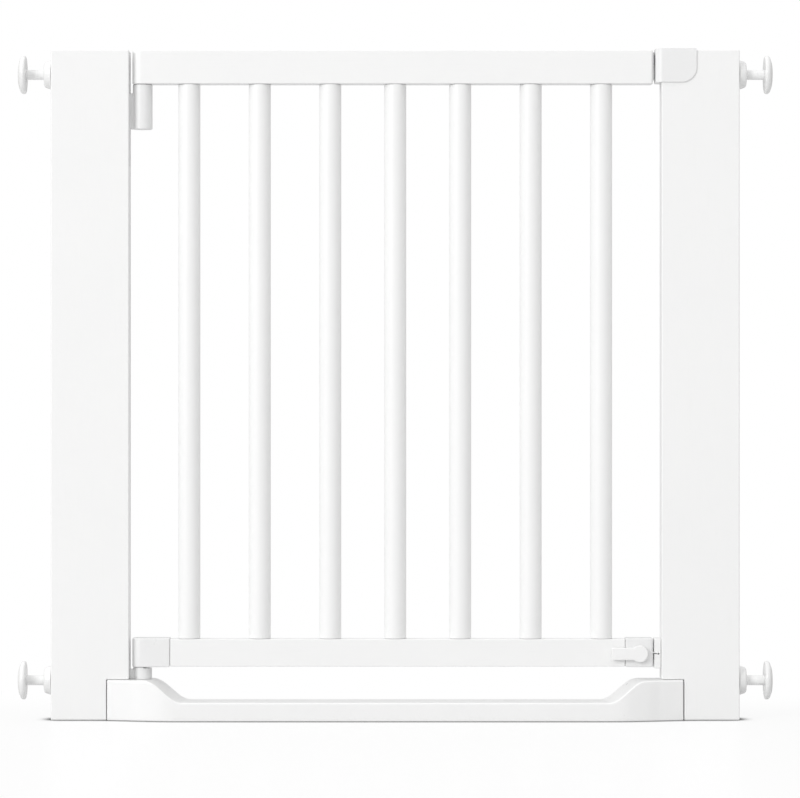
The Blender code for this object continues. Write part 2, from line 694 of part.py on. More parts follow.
def make_top_hinge(left_post):
    radius = TOP_BARREL_DIAMETER / 2
    low = TOP_BARREL_TOP - TOP_BARREL_LENGTH
    chamfer = RAIL_EDGE / 2
    profile = [(0, TOP_BARREL_TOP), (radius - chamfer, TOP_BARREL_TOP), (radius, TOP_BARREL_TOP - chamfer),
               (radius, low + chamfer), (radius - chamfer, low), (0, low)]
    bracket = turn_profile("top_hinge_bracket", profile, (HINGE_X, 0, 0), (0, 0, 1))
    half_web = WEB_THICKNESS / 2
    web = add_box("top_web", (-POST_INNER - GAP, -half_web, low + GAP),
                  (HINGE_X - PIN_RADIUS, half_web, low + TOP_WEB_HEIGHT))
    thick, deep, high = BRACKET_PLATE
    plate_top = low + TOP_WEB_HEIGHT + 2 * GAP
    plate = add_box("bracket_plate", (-POST_INNER - thick, -deep / 2, plate_top - high),
                    (-POST_INNER, deep / 2, plate_top))
    pin_low = TOP_RAIL_LOW - BUSH_LENGTH - PIN_DIAMETER
    pin_bore = add_rod("top_pin_bore", PIN_RADIUS + GAP, (HINGE_X, 0, pin_low - GAP),
                       (HINGE_X, 0, TOP_RAIL_LOW + THROUGH), FINE)
    join(bracket, web, plate)
    cut(bracket, pin_bore)
    seat = add_box("bracket_seat", (-POST_INNER - thick - GAP, -deep / 2 - GAP, plate_top - high - GAP),
                   (-POST_INNER + THROUGH, deep / 2 + GAP, plate_top + GAP))
    cut(left_post, seat)
    for i, label in enumerate(("lower", "upper")):
        name = "bracket_screw_" + label
        head = (-POST_INNER - GAP, 0, plate_top - high + deep / 2 + i * BRACKET_SCREW_PITCH)
        make_screw(name, SMALL_SCREW, head, (-1, 0, 0))
        hole = screw_hole(name, SMALL_SCREW, head, (-1, 0, 0))
        cut(bracket, hole)
        cut(left_post, hole)
    finish_piece(bracket, "white_plastic")
    make_pin("top_hinge_pin", pin_low, TOP_RAIL_LOW + BUSH_LENGTH - GAP)


def make_lower_pivot():
    radius, spigot = SOCKET_DIAMETER / 2, SPIGOT_DIAMETER / 2
    chamfer = RAIL_EDGE / 2
    profile = [(0, SOCKET_TOP), (radius - chamfer, SOCKET_TOP), (radius, SOCKET_TOP - chamfer),
               (radius, SOCKET_LOW), (spigot, SOCKET_LOW), (spigot, BLOCK_HEIGHT - SPIGOT_LENGTH),
               (0, BLOCK_HEIGHT - SPIGOT_LENGTH)]
    socket = turn_profile("lower_pivot_socket", profile, (HINGE_X, 0, 0), (0, 0, 1))
    half_web = WEB_THICKNESS / 2
    web_top = SOCKET_TOP - 2 * SOCKET_RIM_CUT
    join(socket, add_box("lower_web", (-POST_INNER + GAP, -half_web, SOCKET_LOW),
                         (HINGE_X - PIN_RADIUS, half_web, web_top)))
    cut(socket,
        add_box("rim_cut", (HINGE_X + SOCKET_RIM_CUT, -SOCKET_DIAMETER, SOCKET_TOP - SOCKET_RIM_CUT),
                (HINGE_X + SOCKET_DIAMETER, SOCKET_DIAMETER, SOCKET_TOP + THROUGH)),
        add_rod("lower_pin_bore", PIN_RADIUS + GAP, (HINGE_X, 0, SOCKET_LOW + GAP),
                (HINGE_X, 0, CAP_LOW + THROUGH), FINE))
    finish_piece(socket, "white_plastic")
    make_pin("lower_pivot_pin", SOCKET_LOW + 2 * GAP, CAP_LOW + BUSH_LENGTH - GAP)


# Top latch

def make_catch_cap():
    right, low, top = CATCH_RIGHT, CATCH_LOW, CATCH_TOP
    corner, edge = CATCH_CAP_CORNER, CATCH_CAP_ROUND
    face = [(CATCH_LEFT, top), (CATCH_LEFT, low)]
    face += arc((right - corner, low + corner), corner, 270, 360, 8) + [(right, top)]
    cap = extrude_outline("catch_cap", face, -CATCH_HALF, CATCH_HALF, upright=True)
    plan = arc((CATCH_LEFT + edge, CATCH_HALF - edge), edge, 90, 180)
    plan += arc((CATCH_LEFT + edge, edge - CATCH_HALF), edge, 180, 270)
    plan += [(right + THROUGH, -CATCH_HALF), (right + THROUGH, CATCH_HALF)]
    combine(cap, extrude_outline("catch_cap_plan", plan, low - THROUGH, top + THROUGH), "INTERSECT")
    hollow = add_box("catch_cap_hollow", (POST_INNER - GAP, -POST_HALF - GAP, low - THROUGH),
                     (right + THROUGH, POST_HALF + GAP, POST_HEIGHT + GAP))
    way_half, way_high = LATCH_BOLT[1] / 2 + RUN, LATCH_BOLT[2] / 2 + RUN
    bolt_way = add_box("catch_bolt_way", (CATCH_LEFT - THROUGH, -way_half, BOLT_MID - way_high),
                       (POST_INNER + THROUGH, way_half, BOLT_MID + way_high))
    start = BOLT_TIP + SLIDER_SETBACK - LATCH_TRAVEL - GAP
    end = BOLT_TIP + SLIDER_SETBACK + SLIDER_LENGTH + GAP
    slot = add_box("slider_slot", (start, -SLIDER_DEPTH / 2 - GAP, POST_HEIGHT - THROUGH),
                   (end, SLIDER_DEPTH / 2 + GAP, CATCH_TOP + THROUGH))
    return cut(cap, hollow, bolt_way, slot)


def make_top_latch(right_post):
    cap = make_catch_cap()
    deep, high = LATCH_BOLT[1:]
    bolt_low, bolt_top = BOLT_MID - high / 2, BOLT_MID + high / 2
    bolt = add_box("latch_bolt", (BOLT_TIP, -deep / 2, bolt_low), (BOLT_END, deep / 2, bolt_top))
    bevel_edges(bolt, RAIL_EDGE)
    peg_x = BOLT_TIP + SLIDER_SETBACK + SLIDER_LENGTH / 2
    peg_radius = SLIDER_PEG_DIAMETER / 2
    cut(bolt, add_rod("slider_peg_hole", peg_radius + GAP, (peg_x, 0, BOLT_MID),
                      (peg_x, 0, bolt_top + THROUGH), SMALL))
    slider = add_box("release_slider",
                     (BOLT_TIP + SLIDER_SETBACK, -SLIDER_DEPTH / 2, bolt_top + GAP),
                     (BOLT_TIP + SLIDER_SETBACK + SLIDER_LENGTH, SLIDER_DEPTH / 2, CATCH_TOP - GAP))
    join(slider, add_rod("slider_peg", peg_radius, (peg_x, 0, BOLT_MID + GAP),
                         (peg_x, 0, bolt_top + 2 * GAP), SMALL))
    spring_end = BOLT_END + GAP + SPRING_LENGTH
    pocket_half = SLIDER_DEPTH / 2 + 2 * GAP
    cut(right_post, add_box("latch_pocket", (POST_INNER - THROUGH, -pocket_half, bolt_low - GAP),
                            (spring_end + 2 * GAP, pocket_half, POST_HEIGHT + THROUGH)))
    name = "catch_cap_screw"
    head = ((POST_INNER + CATCH_RIGHT) / 2, CATCH_HALF, CATCH_LOW + CATCH_CAP_CORNER / 2)
    make_screw(name, CAP_SCREW, head, (0, -1, 0))
    hole = screw_hole(name, CAP_SCREW, head, (0, -1, 0))
    cut(cap, hole)
    cut(right_post, hole)
    finish_piece(cap, "white_plastic")
    finish_piece(bolt, "zinc_steel")
    finish_piece(slider, "white_plastic")
    make_spring(BOLT_END + GAP, spring_end)
    hang(make_pivot("latch_axis", (BOLT_TIP, 0, BOLT_MID)), bolt, slider)


def make_spring(start, end):
    """Return spring behind the bolt, a coil with its wire inside start and end."""
    curve = bpy.data.curves.new("latch_spring", "CURVE")
    curve.dimensions = "3D"
    curve.bevel_depth = SPRING_WIRE / 2
    curve.bevel_resolution = 1
    curve.use_fill_caps = True
    count = SPRING_TURNS * SPRING_SIDES
    radius = (SPRING_DIAMETER - SPRING_WIRE) / 2
    first, last = start + SPRING_WIRE, end - SPRING_WIRE
    spline = curve.splines.new("POLY")
    spline.points.add(count)
    for i, point in enumerate(spline.points):
        angle = 2 * math.pi * i / SPRING_SIDES
        across = first + (last - first) * i / count
        point.co = (across, radius * math.cos(angle), BOLT_MID + radius * math.sin(angle), 1)
    coil = bpy.data.objects.new("coil", curve)
    bpy.context.scene.collection.objects.link(coil)
    bpy.context.view_layer.update()
    mesh = bpy.data.meshes.new_from_object(coil.evaluated_get(bpy.context.evaluated_depsgraph_get()))
    shape = bmesh.new()
    shape.from_mesh(mesh)
    bmesh.ops.remove_doubles(shape, verts=shape.verts, dist=0.00001)
    shape.to_mesh(mesh)
    shape.free()
    spring = bpy.data.objects.new("latch_spring", mesh)
    bpy.context.scene.collection.objects.link(spring)
    bpy.data.objects.remove(coil, do_unlink=True)
    bpy.data.curves.remove(curve)
    return finish_piece(spring, "zinc_steel")


# Lower lock

def cut_lock_housing(latch_cap):
    """Room in the latch end cap for the lever's hub and the bolt."""
    hub_way = add_rod("hub_way", LEVER_HUB_DIAMETER / 2 + RUN, (LOCK_X, -CAP_HALF - THROUGH, LOCK_HEIGHT),
                      (LOCK_X, HUB_BACK + GAP, LOCK_HEIGHT), FINE)
    length, deep = LOWER_BOLT[:2]
    stud_top = LOCK_HEIGHT + LEVER_CRANK + LEVER_STUD_DIAMETER / 2
    bolt_way = add_box("lower_bolt_way",
                       (LOWER_BOLT_TIP - length - 2 * GAP, HUB_BACK, LOWER_BOLT_LOW - GAP),
                       (LEAF_RIGHT + THROUGH, deep / 2 + GAP, stud_top + 2 * GAP))
    cut(latch_cap, hub_way, bolt_way)


def make_lock(leaf_axis):
    length, deep, high = LOWER_BOLT
    lever_front = LEVER_BACK - LEVER_THICKNESS
    lever = add_rod("lock_lever", LEVER_BOSS_DIAMETER / 2, (LOCK_X, lever_front, LOCK_HEIGHT),
                    (LOCK_X, LEVER_BACK, LOCK_HEIGHT), FINE)
    half_tab = LEVER_TAB_HEIGHT / 2
    tab = add_box("lever_tab", (LOCK_X - LEVER_REACH, lever_front, LOCK_HEIGHT - half_tab),
                  (LOCK_X, LEVER_BACK, LOCK_HEIGHT + half_tab))
    hub = add_rod("lever_hub", LEVER_HUB_DIAMETER / 2,
                  (LOCK_X, LEVER_BACK - LEVER_THICKNESS / 2, LOCK_HEIGHT),
                  (LOCK_X, HUB_BACK, LOCK_HEIGHT), FINE)
    slant = LEVER_CRANK * math.sqrt(0.5)
    stud_x, stud_z = LOCK_X - slant, LOCK_HEIGHT + slant
    stud = add_rod("lever_stud", LEVER_STUD_DIAMETER / 2, (stud_x, HUB_BACK - THROUGH, stud_z),
                   (stud_x, deep / 2 - GAP, stud_z), SMALL)
    join(lever, tab, hub, stud)
    bevel_edges(lever, RAIL_EDGE / 2, angle=60)
    finish_piece(lever, "white_plastic")
    bolt = add_box("lower_bolt", (LOWER_BOLT_TIP - length, -deep / 2, LOWER_BOLT_LOW),
                   (LOWER_BOLT_TIP, deep / 2, LOWER_BOLT_LOW + high))
    half_slot = LEVER_STUD_DIAMETER / 2 + 2 * RUN
    cut(bolt, add_box("stud_slot", (stud_x - half_slot, -deep, stud_z - half_slot),
                      (stud_x + half_slot, deep, LOWER_BOLT_LOW + high + THROUGH)))
    finish_piece(bolt, "zinc_steel")
    lever_axis = make_pivot("lever_axis", (LOCK_X, LEVER_BACK, LOCK_HEIGHT), leaf_axis)
    hang(lever_axis, lever)
    hang(make_pivot("lower_bolt_axis", (LOWER_BOLT_TIP, 0, LOCK_HEIGHT), leaf_axis), bolt)


def make_lower_catch(right_post):
    thick, deep, high = LOWER_CATCH
    face, back = LOWER_CATCH_FACE, POST_INNER - GAP
    top = LOWER_CATCH_LOW + high
    catch = add_box("lower_catch", (face, -deep / 2, LOWER_CATCH_LOW), (back, deep / 2, top))
    bevel_edges(catch, LOWER_CATCH_EDGE)
    pocket_half = LOWER_BOLT[1] / 2 + 2 * GAP
    bolt_top = LOWER_BOLT_LOW + LOWER_BOLT[2]
    pocket = add_box("lower_catch_pocket", (face - THROUGH, -pocket_half, LOWER_BOLT_LOW - 2 * GAP),
                     (LOWER_BOLT_TIP + LOWER_BOLT_TRAVEL + 2 * GAP, pocket_half, bolt_top + 2 * GAP))
    slit_end = face + LOWER_CATCH_SLIT_DEPTH
    slit = add_box("lower_catch_slit", (face - THROUGH, -deep, LOCK_HEIGHT - LOWER_CATCH_SLIT / 2),
                   (slit_end, deep, LOCK_HEIGHT + LOWER_CATCH_SLIT / 2))
    relief = add_rod("lower_catch_relief", LOWER_CATCH_SLIT, (slit_end, -deep, LOCK_HEIGHT),
                     (slit_end, deep, LOCK_HEIGHT), SMALL)
    cut(catch, pocket, slit, relief)
    name = "lower_catch_screw"
    head = (face + GAP, 0, (bolt_top + top) / 2)
    make_screw(name, SMALL_SCREW, head, (1, 0, 0))
    hole = screw_hole(name, SMALL_SCREW, head, (1, 0, 0))
    cut(catch, hole)
    cut(right_post, hole)
    finish_piece(catch, "white_plastic")


# Pressure pads

def pad_profile():
    """Disc with rounded rims, from its outer face down to the inner one, around the rubber's recess."""
    radius, recess = PAD_DIAMETER / 2, RUBBER_DIAMETER / 2 + GAP
    thick, rim = PAD_THICKNESS, PAD_RIM
    bed = thick - RUBBER_RECESS
    profile = [(0, bed), (recess, bed), (recess, thick)]
    profile += arc((radius - rim, thick - rim), rim, 90, 0, 2)
    profile += arc((radius - rim, rim), rim, 0, -90, 2)
    socket = ROD_DIAMETER / 2 + GAP
    return profile + [(socket, 0), (socket, PAD_SOCKET + GAP), (0, PAD_SOCKET + GAP)]


def nut_profile():
    """Domed hand nut, from its outer face down to the face on the post, with the bore for the rod."""
    bore, radius, face = ROD_DIAMETER / 2 + RUN, NUT_DIAMETER / 2, NUT_FACE_DIAMETER / 2
    shoulder_in, shoulder_up = NUT_SHOULDER
    return [(bore, NUT_THICKNESS), (face, NUT_THICKNESS), (radius - shoulder_in, shoulder_up),
            (radius, NUT_BAND), (radius, 0), (bore, 0), (bore, NUT_THICKNESS)]


def rubber_profile():
    radius = RUBBER_DIAMETER / 2
    return [(0, RUBBER_THICKNESS), (radius - RUBBER_EDGE, RUBBER_THICKNESS),
            (radius, RUBBER_THICKNESS - RUBBER_EDGE), (radius, 0), (0, 0)]


def sleeve_profile():
    """Guide sleeve sunk in the post's edge, its outer end just under the post's face."""
    inner, outer = ROD_DIAMETER / 2 + RUN, SLEEVE_DIAMETER / 2
    high, low = -GAP, -GAP - SLEEVE_LENGTH
    return [(inner, high), (outer, high), (outer, low), (inner, low), (inner, high)]


def make_pad(side, level, height):
    label = level + "_" + ("left" if side < 0 else "right")
    outward = (side, 0, 0)

    def turned(name, profile, start, finish):
        return finish_piece(turn_profile(name + label, profile, (side * start, 0, height), outward), finish)

    plate = turned("pad_plate_", pad_profile(), PAD_INNER, "white_plastic")
    bed = PAD_INNER + PAD_THICKNESS - RUBBER_RECESS + GAP
    rubber = turned("pad_rubber_", rubber_profile(), bed, "pale_rubber")
    rod_end = PAD_INNER + PAD_SOCKET
    rod = add_rod("threaded_rod_" + label, ROD_DIAMETER / 2,
                  (side * (rod_end - ROD_LENGTH), 0, height), (side * rod_end, 0, height))
    finish_piece(rod, "white_rod")
    nut = turned("hand_nut_", nut_profile(), NUT_INNER, "white_plastic")
    turned("guide_sleeve_", sleeve_profile(), POST_OUTER, "pale_bush")
    hang(make_pivot("rod_axis_" + label, (side * PAD_INNER, 0, height)), plate, rubber, rod)
    hang(make_pivot("nut_axis_" + label, (side * NUT_INNER, 0, height)), nut)


clear_scene()
parts = make_collection("pressure_fit_gate")
cutters = make_collection("cutters")
left_board, right_board, step_bar = make_frame()
make_top_hinge(left_board)
make_lower_pivot()
make_top_latch(right_board)
make_lower_catch(right_board)
make_lock(make_leaf())
for pad_level, pad_height in PAD_HEIGHTS.items():
    for pad_side in (-1, 1):
        make_pad(pad_side, pad_level, pad_height)
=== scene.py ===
import json
import math

import bmesh
import bpy
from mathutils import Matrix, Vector

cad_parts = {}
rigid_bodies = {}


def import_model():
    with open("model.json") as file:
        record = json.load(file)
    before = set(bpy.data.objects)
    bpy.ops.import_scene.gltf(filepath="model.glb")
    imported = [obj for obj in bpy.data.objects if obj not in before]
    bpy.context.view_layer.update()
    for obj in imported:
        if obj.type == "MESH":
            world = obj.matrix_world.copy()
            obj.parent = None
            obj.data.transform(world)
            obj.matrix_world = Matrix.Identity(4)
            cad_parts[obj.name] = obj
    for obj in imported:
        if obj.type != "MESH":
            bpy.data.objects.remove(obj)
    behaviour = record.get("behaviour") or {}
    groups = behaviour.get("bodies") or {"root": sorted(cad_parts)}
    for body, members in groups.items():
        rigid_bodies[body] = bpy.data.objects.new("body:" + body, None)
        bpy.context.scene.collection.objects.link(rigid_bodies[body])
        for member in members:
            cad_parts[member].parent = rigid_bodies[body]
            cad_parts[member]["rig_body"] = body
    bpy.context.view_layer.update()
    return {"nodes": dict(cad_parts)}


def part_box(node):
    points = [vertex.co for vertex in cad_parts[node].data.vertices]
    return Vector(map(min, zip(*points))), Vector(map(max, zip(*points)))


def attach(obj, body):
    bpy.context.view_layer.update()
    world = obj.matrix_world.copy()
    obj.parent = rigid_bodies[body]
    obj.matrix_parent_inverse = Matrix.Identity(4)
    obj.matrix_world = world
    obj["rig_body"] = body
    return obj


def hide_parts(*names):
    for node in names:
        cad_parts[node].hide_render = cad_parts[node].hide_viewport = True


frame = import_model()
nodes = frame["nodes"]

fit = dict(gap=0.0003, run=0.00015, through=0.002)   # between touching pieces, between sliding ones, past a cut face
gap, run, through = fit["gap"], fit["run"], fit["through"]
corners = [(level, side) for level in ("bottom", "top") for side in ("left", "right")]


# Shapes

def placed(name, data):
    thing = bpy.data.objects.new(name, data)
    bpy.context.scene.collection.objects.link(thing)
    return thing


def toObject(name, shape):
    bmesh.ops.recalc_face_normals(shape, faces=shape.faces)
    mesh = bpy.data.meshes.new(name)
    shape.to_mesh(mesh)
    shape.free()
    return placed(name, mesh)


def applied(piece):
    bpy.context.view_layer.update()
    depsgraph = bpy.context.evaluated_depsgraph_get()
    mesh = bpy.data.meshes.new_from_object(piece.evaluated_get(depsgraph))
    piece.modifiers.clear()
    piece.data = mesh
    return piece


def combined(piece, tools, operation):
    for tool in tools:
        step = piece.modifiers.new(operation.lower(), "BOOLEAN")
        step.operation = operation
        step.solver = "EXACT"
        step.object = tool
    applied(piece)
    for tool in tools:
        bpy.data.objects.remove(tool, do_unlink=True)
    return piece


def cut(piece, *tools):
    return combined(piece, tools, "DIFFERENCE")


def join(piece, *tools):
    return combined(piece, tools, "UNION")


def rounded(piece, width, segments=3, angle=40):
    edges = piece.modifiers.new("rounding", "BEVEL")
    edges.width = width
    edges.segments = segments
    edges.limit_method = "ANGLE"
    edges.angle_limit = math.radians(angle)
    return applied(piece)


def arc(centre, radius, start, end, steps=10):
    angles = [math.radians(start + (end - start) * i / steps) for i in range(steps + 1)]
    return [(centre[0] + radius * math.cos(a), centre[1] + radius * math.sin(a)) for a in angles]


# a flat outline made solid: drawn in X and Y and raised along Z, or drawn in X and Z and raised along Y
def slab(name, outline, low, high, along="Z"):
    shape = bmesh.new()
    near, far = ([shape.verts.new((a, b, level) if along == "Z" else (a, level, b)) for a, b in outline]
                 for level in (low, high))
    shape.faces.new(near)
    shape.faces.new(far[::-1])
    for i in range(len(outline)):
        j = (i + 1) % len(outline)
        shape.faces.new((near[i], near[j], far[j], far[i]))
    return toObject(name, shape)


def block(name, low, high):
    outline = [(low[0], low[1]), (high[0], low[1]), (high[0], high[1]), (low[0], high[1])]
    return slab(name, outline, low[2], high[2])


# (radius, height) points turned about a line; a profile that ends where it starts makes a ring
def turned(name, profile, place, direction=(0, 0, 1), steps=64):
    place = Vector(place)
    turn = Vector(direction).to_track_quat("Z", "Y").to_matrix()
    ringShaped = profile[0] == profile[-1]
    shape = bmesh.new()
    rings = []
    for radius, height in profile[:-1] if ringShaped else profile:
        if radius == 0:
            rings.append([shape.verts.new(place + turn @ Vector((0, 0, height)))])
            continue
        angles = [2 * math.pi * i / steps for i in range(steps)]
        rings.append([shape.verts.new(place + turn @ Vector((radius * math.cos(a), radius * math.sin(a), height)))
                      for a in angles])
    for first, second in zip(rings, rings[1:] + (rings[:1] if ringShaped else [])):
        for i in range(steps):
            j = (i + 1) % steps
            if len(first) == 1:
                shape.faces.new((first[0], second[i], second[j]))
            elif len(second) == 1:
                shape.faces.new((first[i], first[j], second[0]))
            else:
                shape.faces.new((first[i], first[j], second[j], second[i]))
    return toObject(name, shape)


def rod(name, radius, start, end, steps=48):
    start, end = Vector(start), Vector(end)
    length = (end - start).length
    return turned(name, [(0, 0), (radius, 0), (radius, length), (0, length)], start, end - start, steps)


def lofted(name, rings):
    shape = bmesh.new()
    loops = [[shape.verts.new(point) for point in ring] for ring in rings]
    for first, second in zip(loops, loops[1:]):
        for i in range(len(first)):
            j = (i + 1) % len(first)
            shape.faces.new((first[i], first[j], second[j], second[i]))
    shape.faces.new(loops[0][::-1])
    shape.faces.new(loops[-1])
    return toObject(name, shape)


def pieceName(start, node):
    return start + "".join(word.capitalize() for word in node.split("_"))


def middle(node):
    low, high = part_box(node)
    return (low + high) / 2


# smooth shading, the finish, and the CAD node that the piece stands for
def done(piece, finish, node, sharp=32):
    piece.data.materials.clear()
    piece.data.materials.append(finish)
    piece.data.shade_smooth()
    piece.data.set_sharp_from_angle(angle=math.radians(sharp))
    even = piece.modifiers.new("evenShading", "WEIGHTED_NORMAL")
    even.keep_sharp = True
    applied(piece)
    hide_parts(node)
    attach(piece, nodes[node]["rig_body"])
    return piece


# Finishes

def newGroup(name, inputs, outputs):
    group = bpy.data.node_groups.new(name, "ShaderNodeTree")
    for label, kind, value in inputs:
        socket = group.interface.new_socket(name=label, in_out="INPUT", socket_type=kind)
        if value is not None:
            socket.default_value = value
    for label, kind in outputs:
        group.interface.new_socket(name=label, in_out="OUTPUT", socket_type=kind)
    start = group.nodes.new("NodeGroupInput")
    end = group.nodes.new("NodeGroupOutput")
    return group, start.outputs, end


# sets a socket to a number, a vector or a colour, or links another socket to it
def feed(tree, node, label, value):
    socket = node.inputs[label]
    if isinstance(value, bpy.types.NodeSocket):
        tree.links.new(value, socket)
    else:
        socket.default_value = (*value, 1.0) if socket.type == "RGBA" else value


def addNode(tree, kind, **values):
    step = tree.nodes.new("ShaderNode" + kind)
    for label, value in values.items():
        feed(tree, step, label.replace("_", " "), value)
    return step


def addNoise(tree, vector, scale, detail=3.0, roughness=0.5):
    return addNode(tree, "TexNoise", Vector=vector, Scale=scale, Detail=detail, Roughness=roughness).outputs["Fac"]


def addMath(tree, operation, *values):
    step = addNode(tree, "Math")
    step.operation = operation
    for i, value in enumerate(values):
        feed(tree, step, i, value)
    return step.outputs[0]


def addRange(tree, value, fromLow, fromHigh, toLow, toHigh):
    step = addNode(tree, "MapRange", Value=value, From_Min=fromLow, From_Max=fromHigh, To_Min=toLow, To_Max=toHigh)
    step.interpolation_type = "SMOOTHSTEP"
    return step.outputs["Result"]


def addMix(tree, amount, first, second):
    step = addNode(tree, "Mix")
    step.data_type = "RGBA"
    for i, value in ((0, amount), (6, first), (7, second)):   # 6 and 7 are the node's two colours
        feed(tree, step, i, value)
    return step.outputs[2]


def addBlend(tree, amount, first, second):
    step = addNode(tree, "MixShader")
    for i, value in enumerate((amount, first, second)):
        feed(tree, step, i, value)
    return step.outputs[0]


# slow shifts of tone over a coat of paint or a moulding
def makeToneDrift():
    group, given, end = newGroup(
        "toneDrift",
        [("Vector", "NodeSocketVector", None), ("Scale", "NodeSocketFloat", 6.0),
         ("Light", "NodeSocketColor", (1, 1, 1, 1)), ("Dark", "NodeSocketColor", (0.9, 0.9, 0.9, 1))],
        [("Colour", "NodeSocketColor"), ("Mask", "NodeSocketFloat")])
    cloud = addNoise(group, given["Vector"], given["Scale"], 4.0, 0.55)
    mask = addRange(group, cloud, 0.15, 0.85, 0.0, 1.0)
    colour = addMix(group, mask, given["Dark"], given["Light"])
    feed(group, end, "Colour", colour)
    feed(group, end, "Mask", mask)
    return group


# the fine ripple of a sprayed coat, with the wood's pores just showing through it
def makeSprayedCoat():
    group, given, end = newGroup(
        "sprayedCoat",
        [("Vector", "NodeSocketVector", None), ("Grain Vector", "NodeSocketVector", None),
         ("Peel Scale", "NodeSocketFloat", 420.0), ("Grain Share", "NodeSocketFloat", 0.35)],
        [("Height", "NodeSocketFloat"), ("Pores", "NodeSocketFloat")])
    peel = addNoise(group, given["Vector"], given["Peel Scale"], 2.0, 0.4)
    fibre = addNoise(group, given["Grain Vector"], 1.0, 5.0, 0.62)
    pores = addRange(group, fibre, 0.52, 0.78, 0.0, 1.0)
    lowered = addMath(group, "MULTIPLY", pores, given["Grain Share"])
    height = addMath(group, "SUBTRACT", peel, lowered)
    feed(group, end, "Height", height)
    feed(group, end, "Pores", pores)
    return group


# the spark-eroded skin of a mould
def makeMouldSkin():
    group, given, end = newGroup(
        "mouldSkin",
        [("Vector", "NodeSocketVector", None), ("Scale", "NodeSocketFloat", 1800.0),
         ("Flow Scale", "NodeSocketFloat", 30.0)],
        [("Height", "NodeSocketFloat"), ("Sheen", "NodeSocketFloat")])
    pits = addNode(group, "TexVoronoi", Vector=given["Vector"], Scale=given["Scale"])
    pits.feature = "SMOOTH_F1"
    fine = addNoise(group, given["Vector"], given["Scale"], 2.0, 0.5)
    height = addMath(group, "ADD", pits.outputs["Distance"], fine)
    sheen = addNoise(group, given["Vector"], given["Flow Scale"], 3.0, 0.5)
    feed(group, end, "Height", height)
    feed(group, end, "Sheen", sheen)
    return group


# hair-thin marks that hands, dusters and packing leave in a coat
def makeHandlingMarks():
    group, given, end = newGroup(
        "handlingMarks",
        [("Vector", "NodeSocketVector", None), ("Density", "NodeSocketFloat", 26.0)],
        [("Marks", "NodeSocketFloat")])
    bend = addNode(group, "TexNoise", Scale=9.0, Vector=given["Vector"])
    shift = addNode(group, "VectorMath")
    shift.operation = "MULTIPLY_ADD"
    for i, value in enumerate((bend.outputs["Color"], (0.12, 0.12, 0.12), given["Vector"])):
        feed(group, shift, i, value)
    cells = addNode(group, "TexVoronoi", Vector=shift.outputs[0], Scale=given["Density"])
    cells.feature = "DISTANCE_TO_EDGE"
    line = addRange(group, cells.outputs["Distance"], 0.0, 0.012, 1.0, 0.0)
    patches = addNoise(group, given["Vector"], 11.0, 2.0)
    kept = addRange(group, patches, 0.55, 0.7, 0.0, 1.0)
    feed(group, end, "Marks", addMath(group, "MULTIPLY", line, kept))
    return group


# the crossed brushing and dull spangle of a zinc coat
def makeZincSpangle():
    group, given, end = newGroup(
        "zincSpangle",
        [("Vector", "NodeSocketVector", None), ("Scale", "NodeSocketFloat", 380.0)],
        [("Colour", "NodeSocketColor"), ("Roughness", "NodeSocketFloat"), ("Height", "NodeSocketFloat")])
    flakes = addNode(group, "TexVoronoi", Vector=given["Vector"], Scale=given["Scale"])
    tone = addNode(group, "SeparateColor", Color=flakes.outputs["Color"])
    colour = addMix(group, tone.outputs["Red"], (0.55, 0.56, 0.57), (0.70, 0.70, 0.69))
    grit = addNoise(group, given["Vector"], 2600.0, 2.0)
    feed(group, end, "Colour", colour)
    feed(group, end, "Roughness", addRange(group, tone.outputs["Green"], 0.0, 1.0, 0.28, 0.44))
    feed(group, end, "Height", grit)
    return group


toneDrift = makeToneDrift()
sprayedCoat = makeSprayedCoat()
mouldSkin = makeMouldSkin()
handlingMarks = makeHandlingMarks()
zincSpangle = makeZincSpangle()


def startFinish(name, roughness, specular=0.5, metallic=0.0, coat=0.0, coatRoughness=0.1):
    finish = bpy.data.materials.new(name)
    finish.use_nodes = True
    tree = finish.node_tree
    shader = tree.nodes["Principled BSDF"]
    for label, value in (("Roughness", roughness), ("Specular IOR Level", specular), ("Metallic", metallic),
                         ("Coat Weight", coat), ("Coat Roughness", coatRoughness)):
        feed(tree, shader, label, value)
    return finish, tree, shader, addNode(tree, "TexCoord").outputs["Object"]


def useGroup(tree, group, vector, **values):
    step = addNode(tree, "Group")
    step.node_tree = group
    feed(tree, step, "Vector", vector)
    for label, value in values.items():
        feed(tree, step, label.replace("_", " "), value)
    return step.outputs


def addBump(tree, shader, height, strength, distance):
    bump = addNode(tree, "Bump", Strength=strength, Distance=distance, Height=height)
    feed(tree, shader, "Normal", bump.outputs["Normal"])


def stretched(tree, vector, scale):
    return addNode(tree, "Mapping", Scale=scale, Vector=vector).outputs["Vector"]


lacquer = dict(light=(0.905, 0.905, 0.902), dark=(0.893, 0.894, 0.892), pores=(0.84, 0.84, 0.835),
               roughness=(0.33, 0.39), drift=7.0, peel=420.0, grainAcross=900.0, grainAlong=22.0, poreShow=0.25,
               scuff=0.08, bump=(0.12, 0.00012))


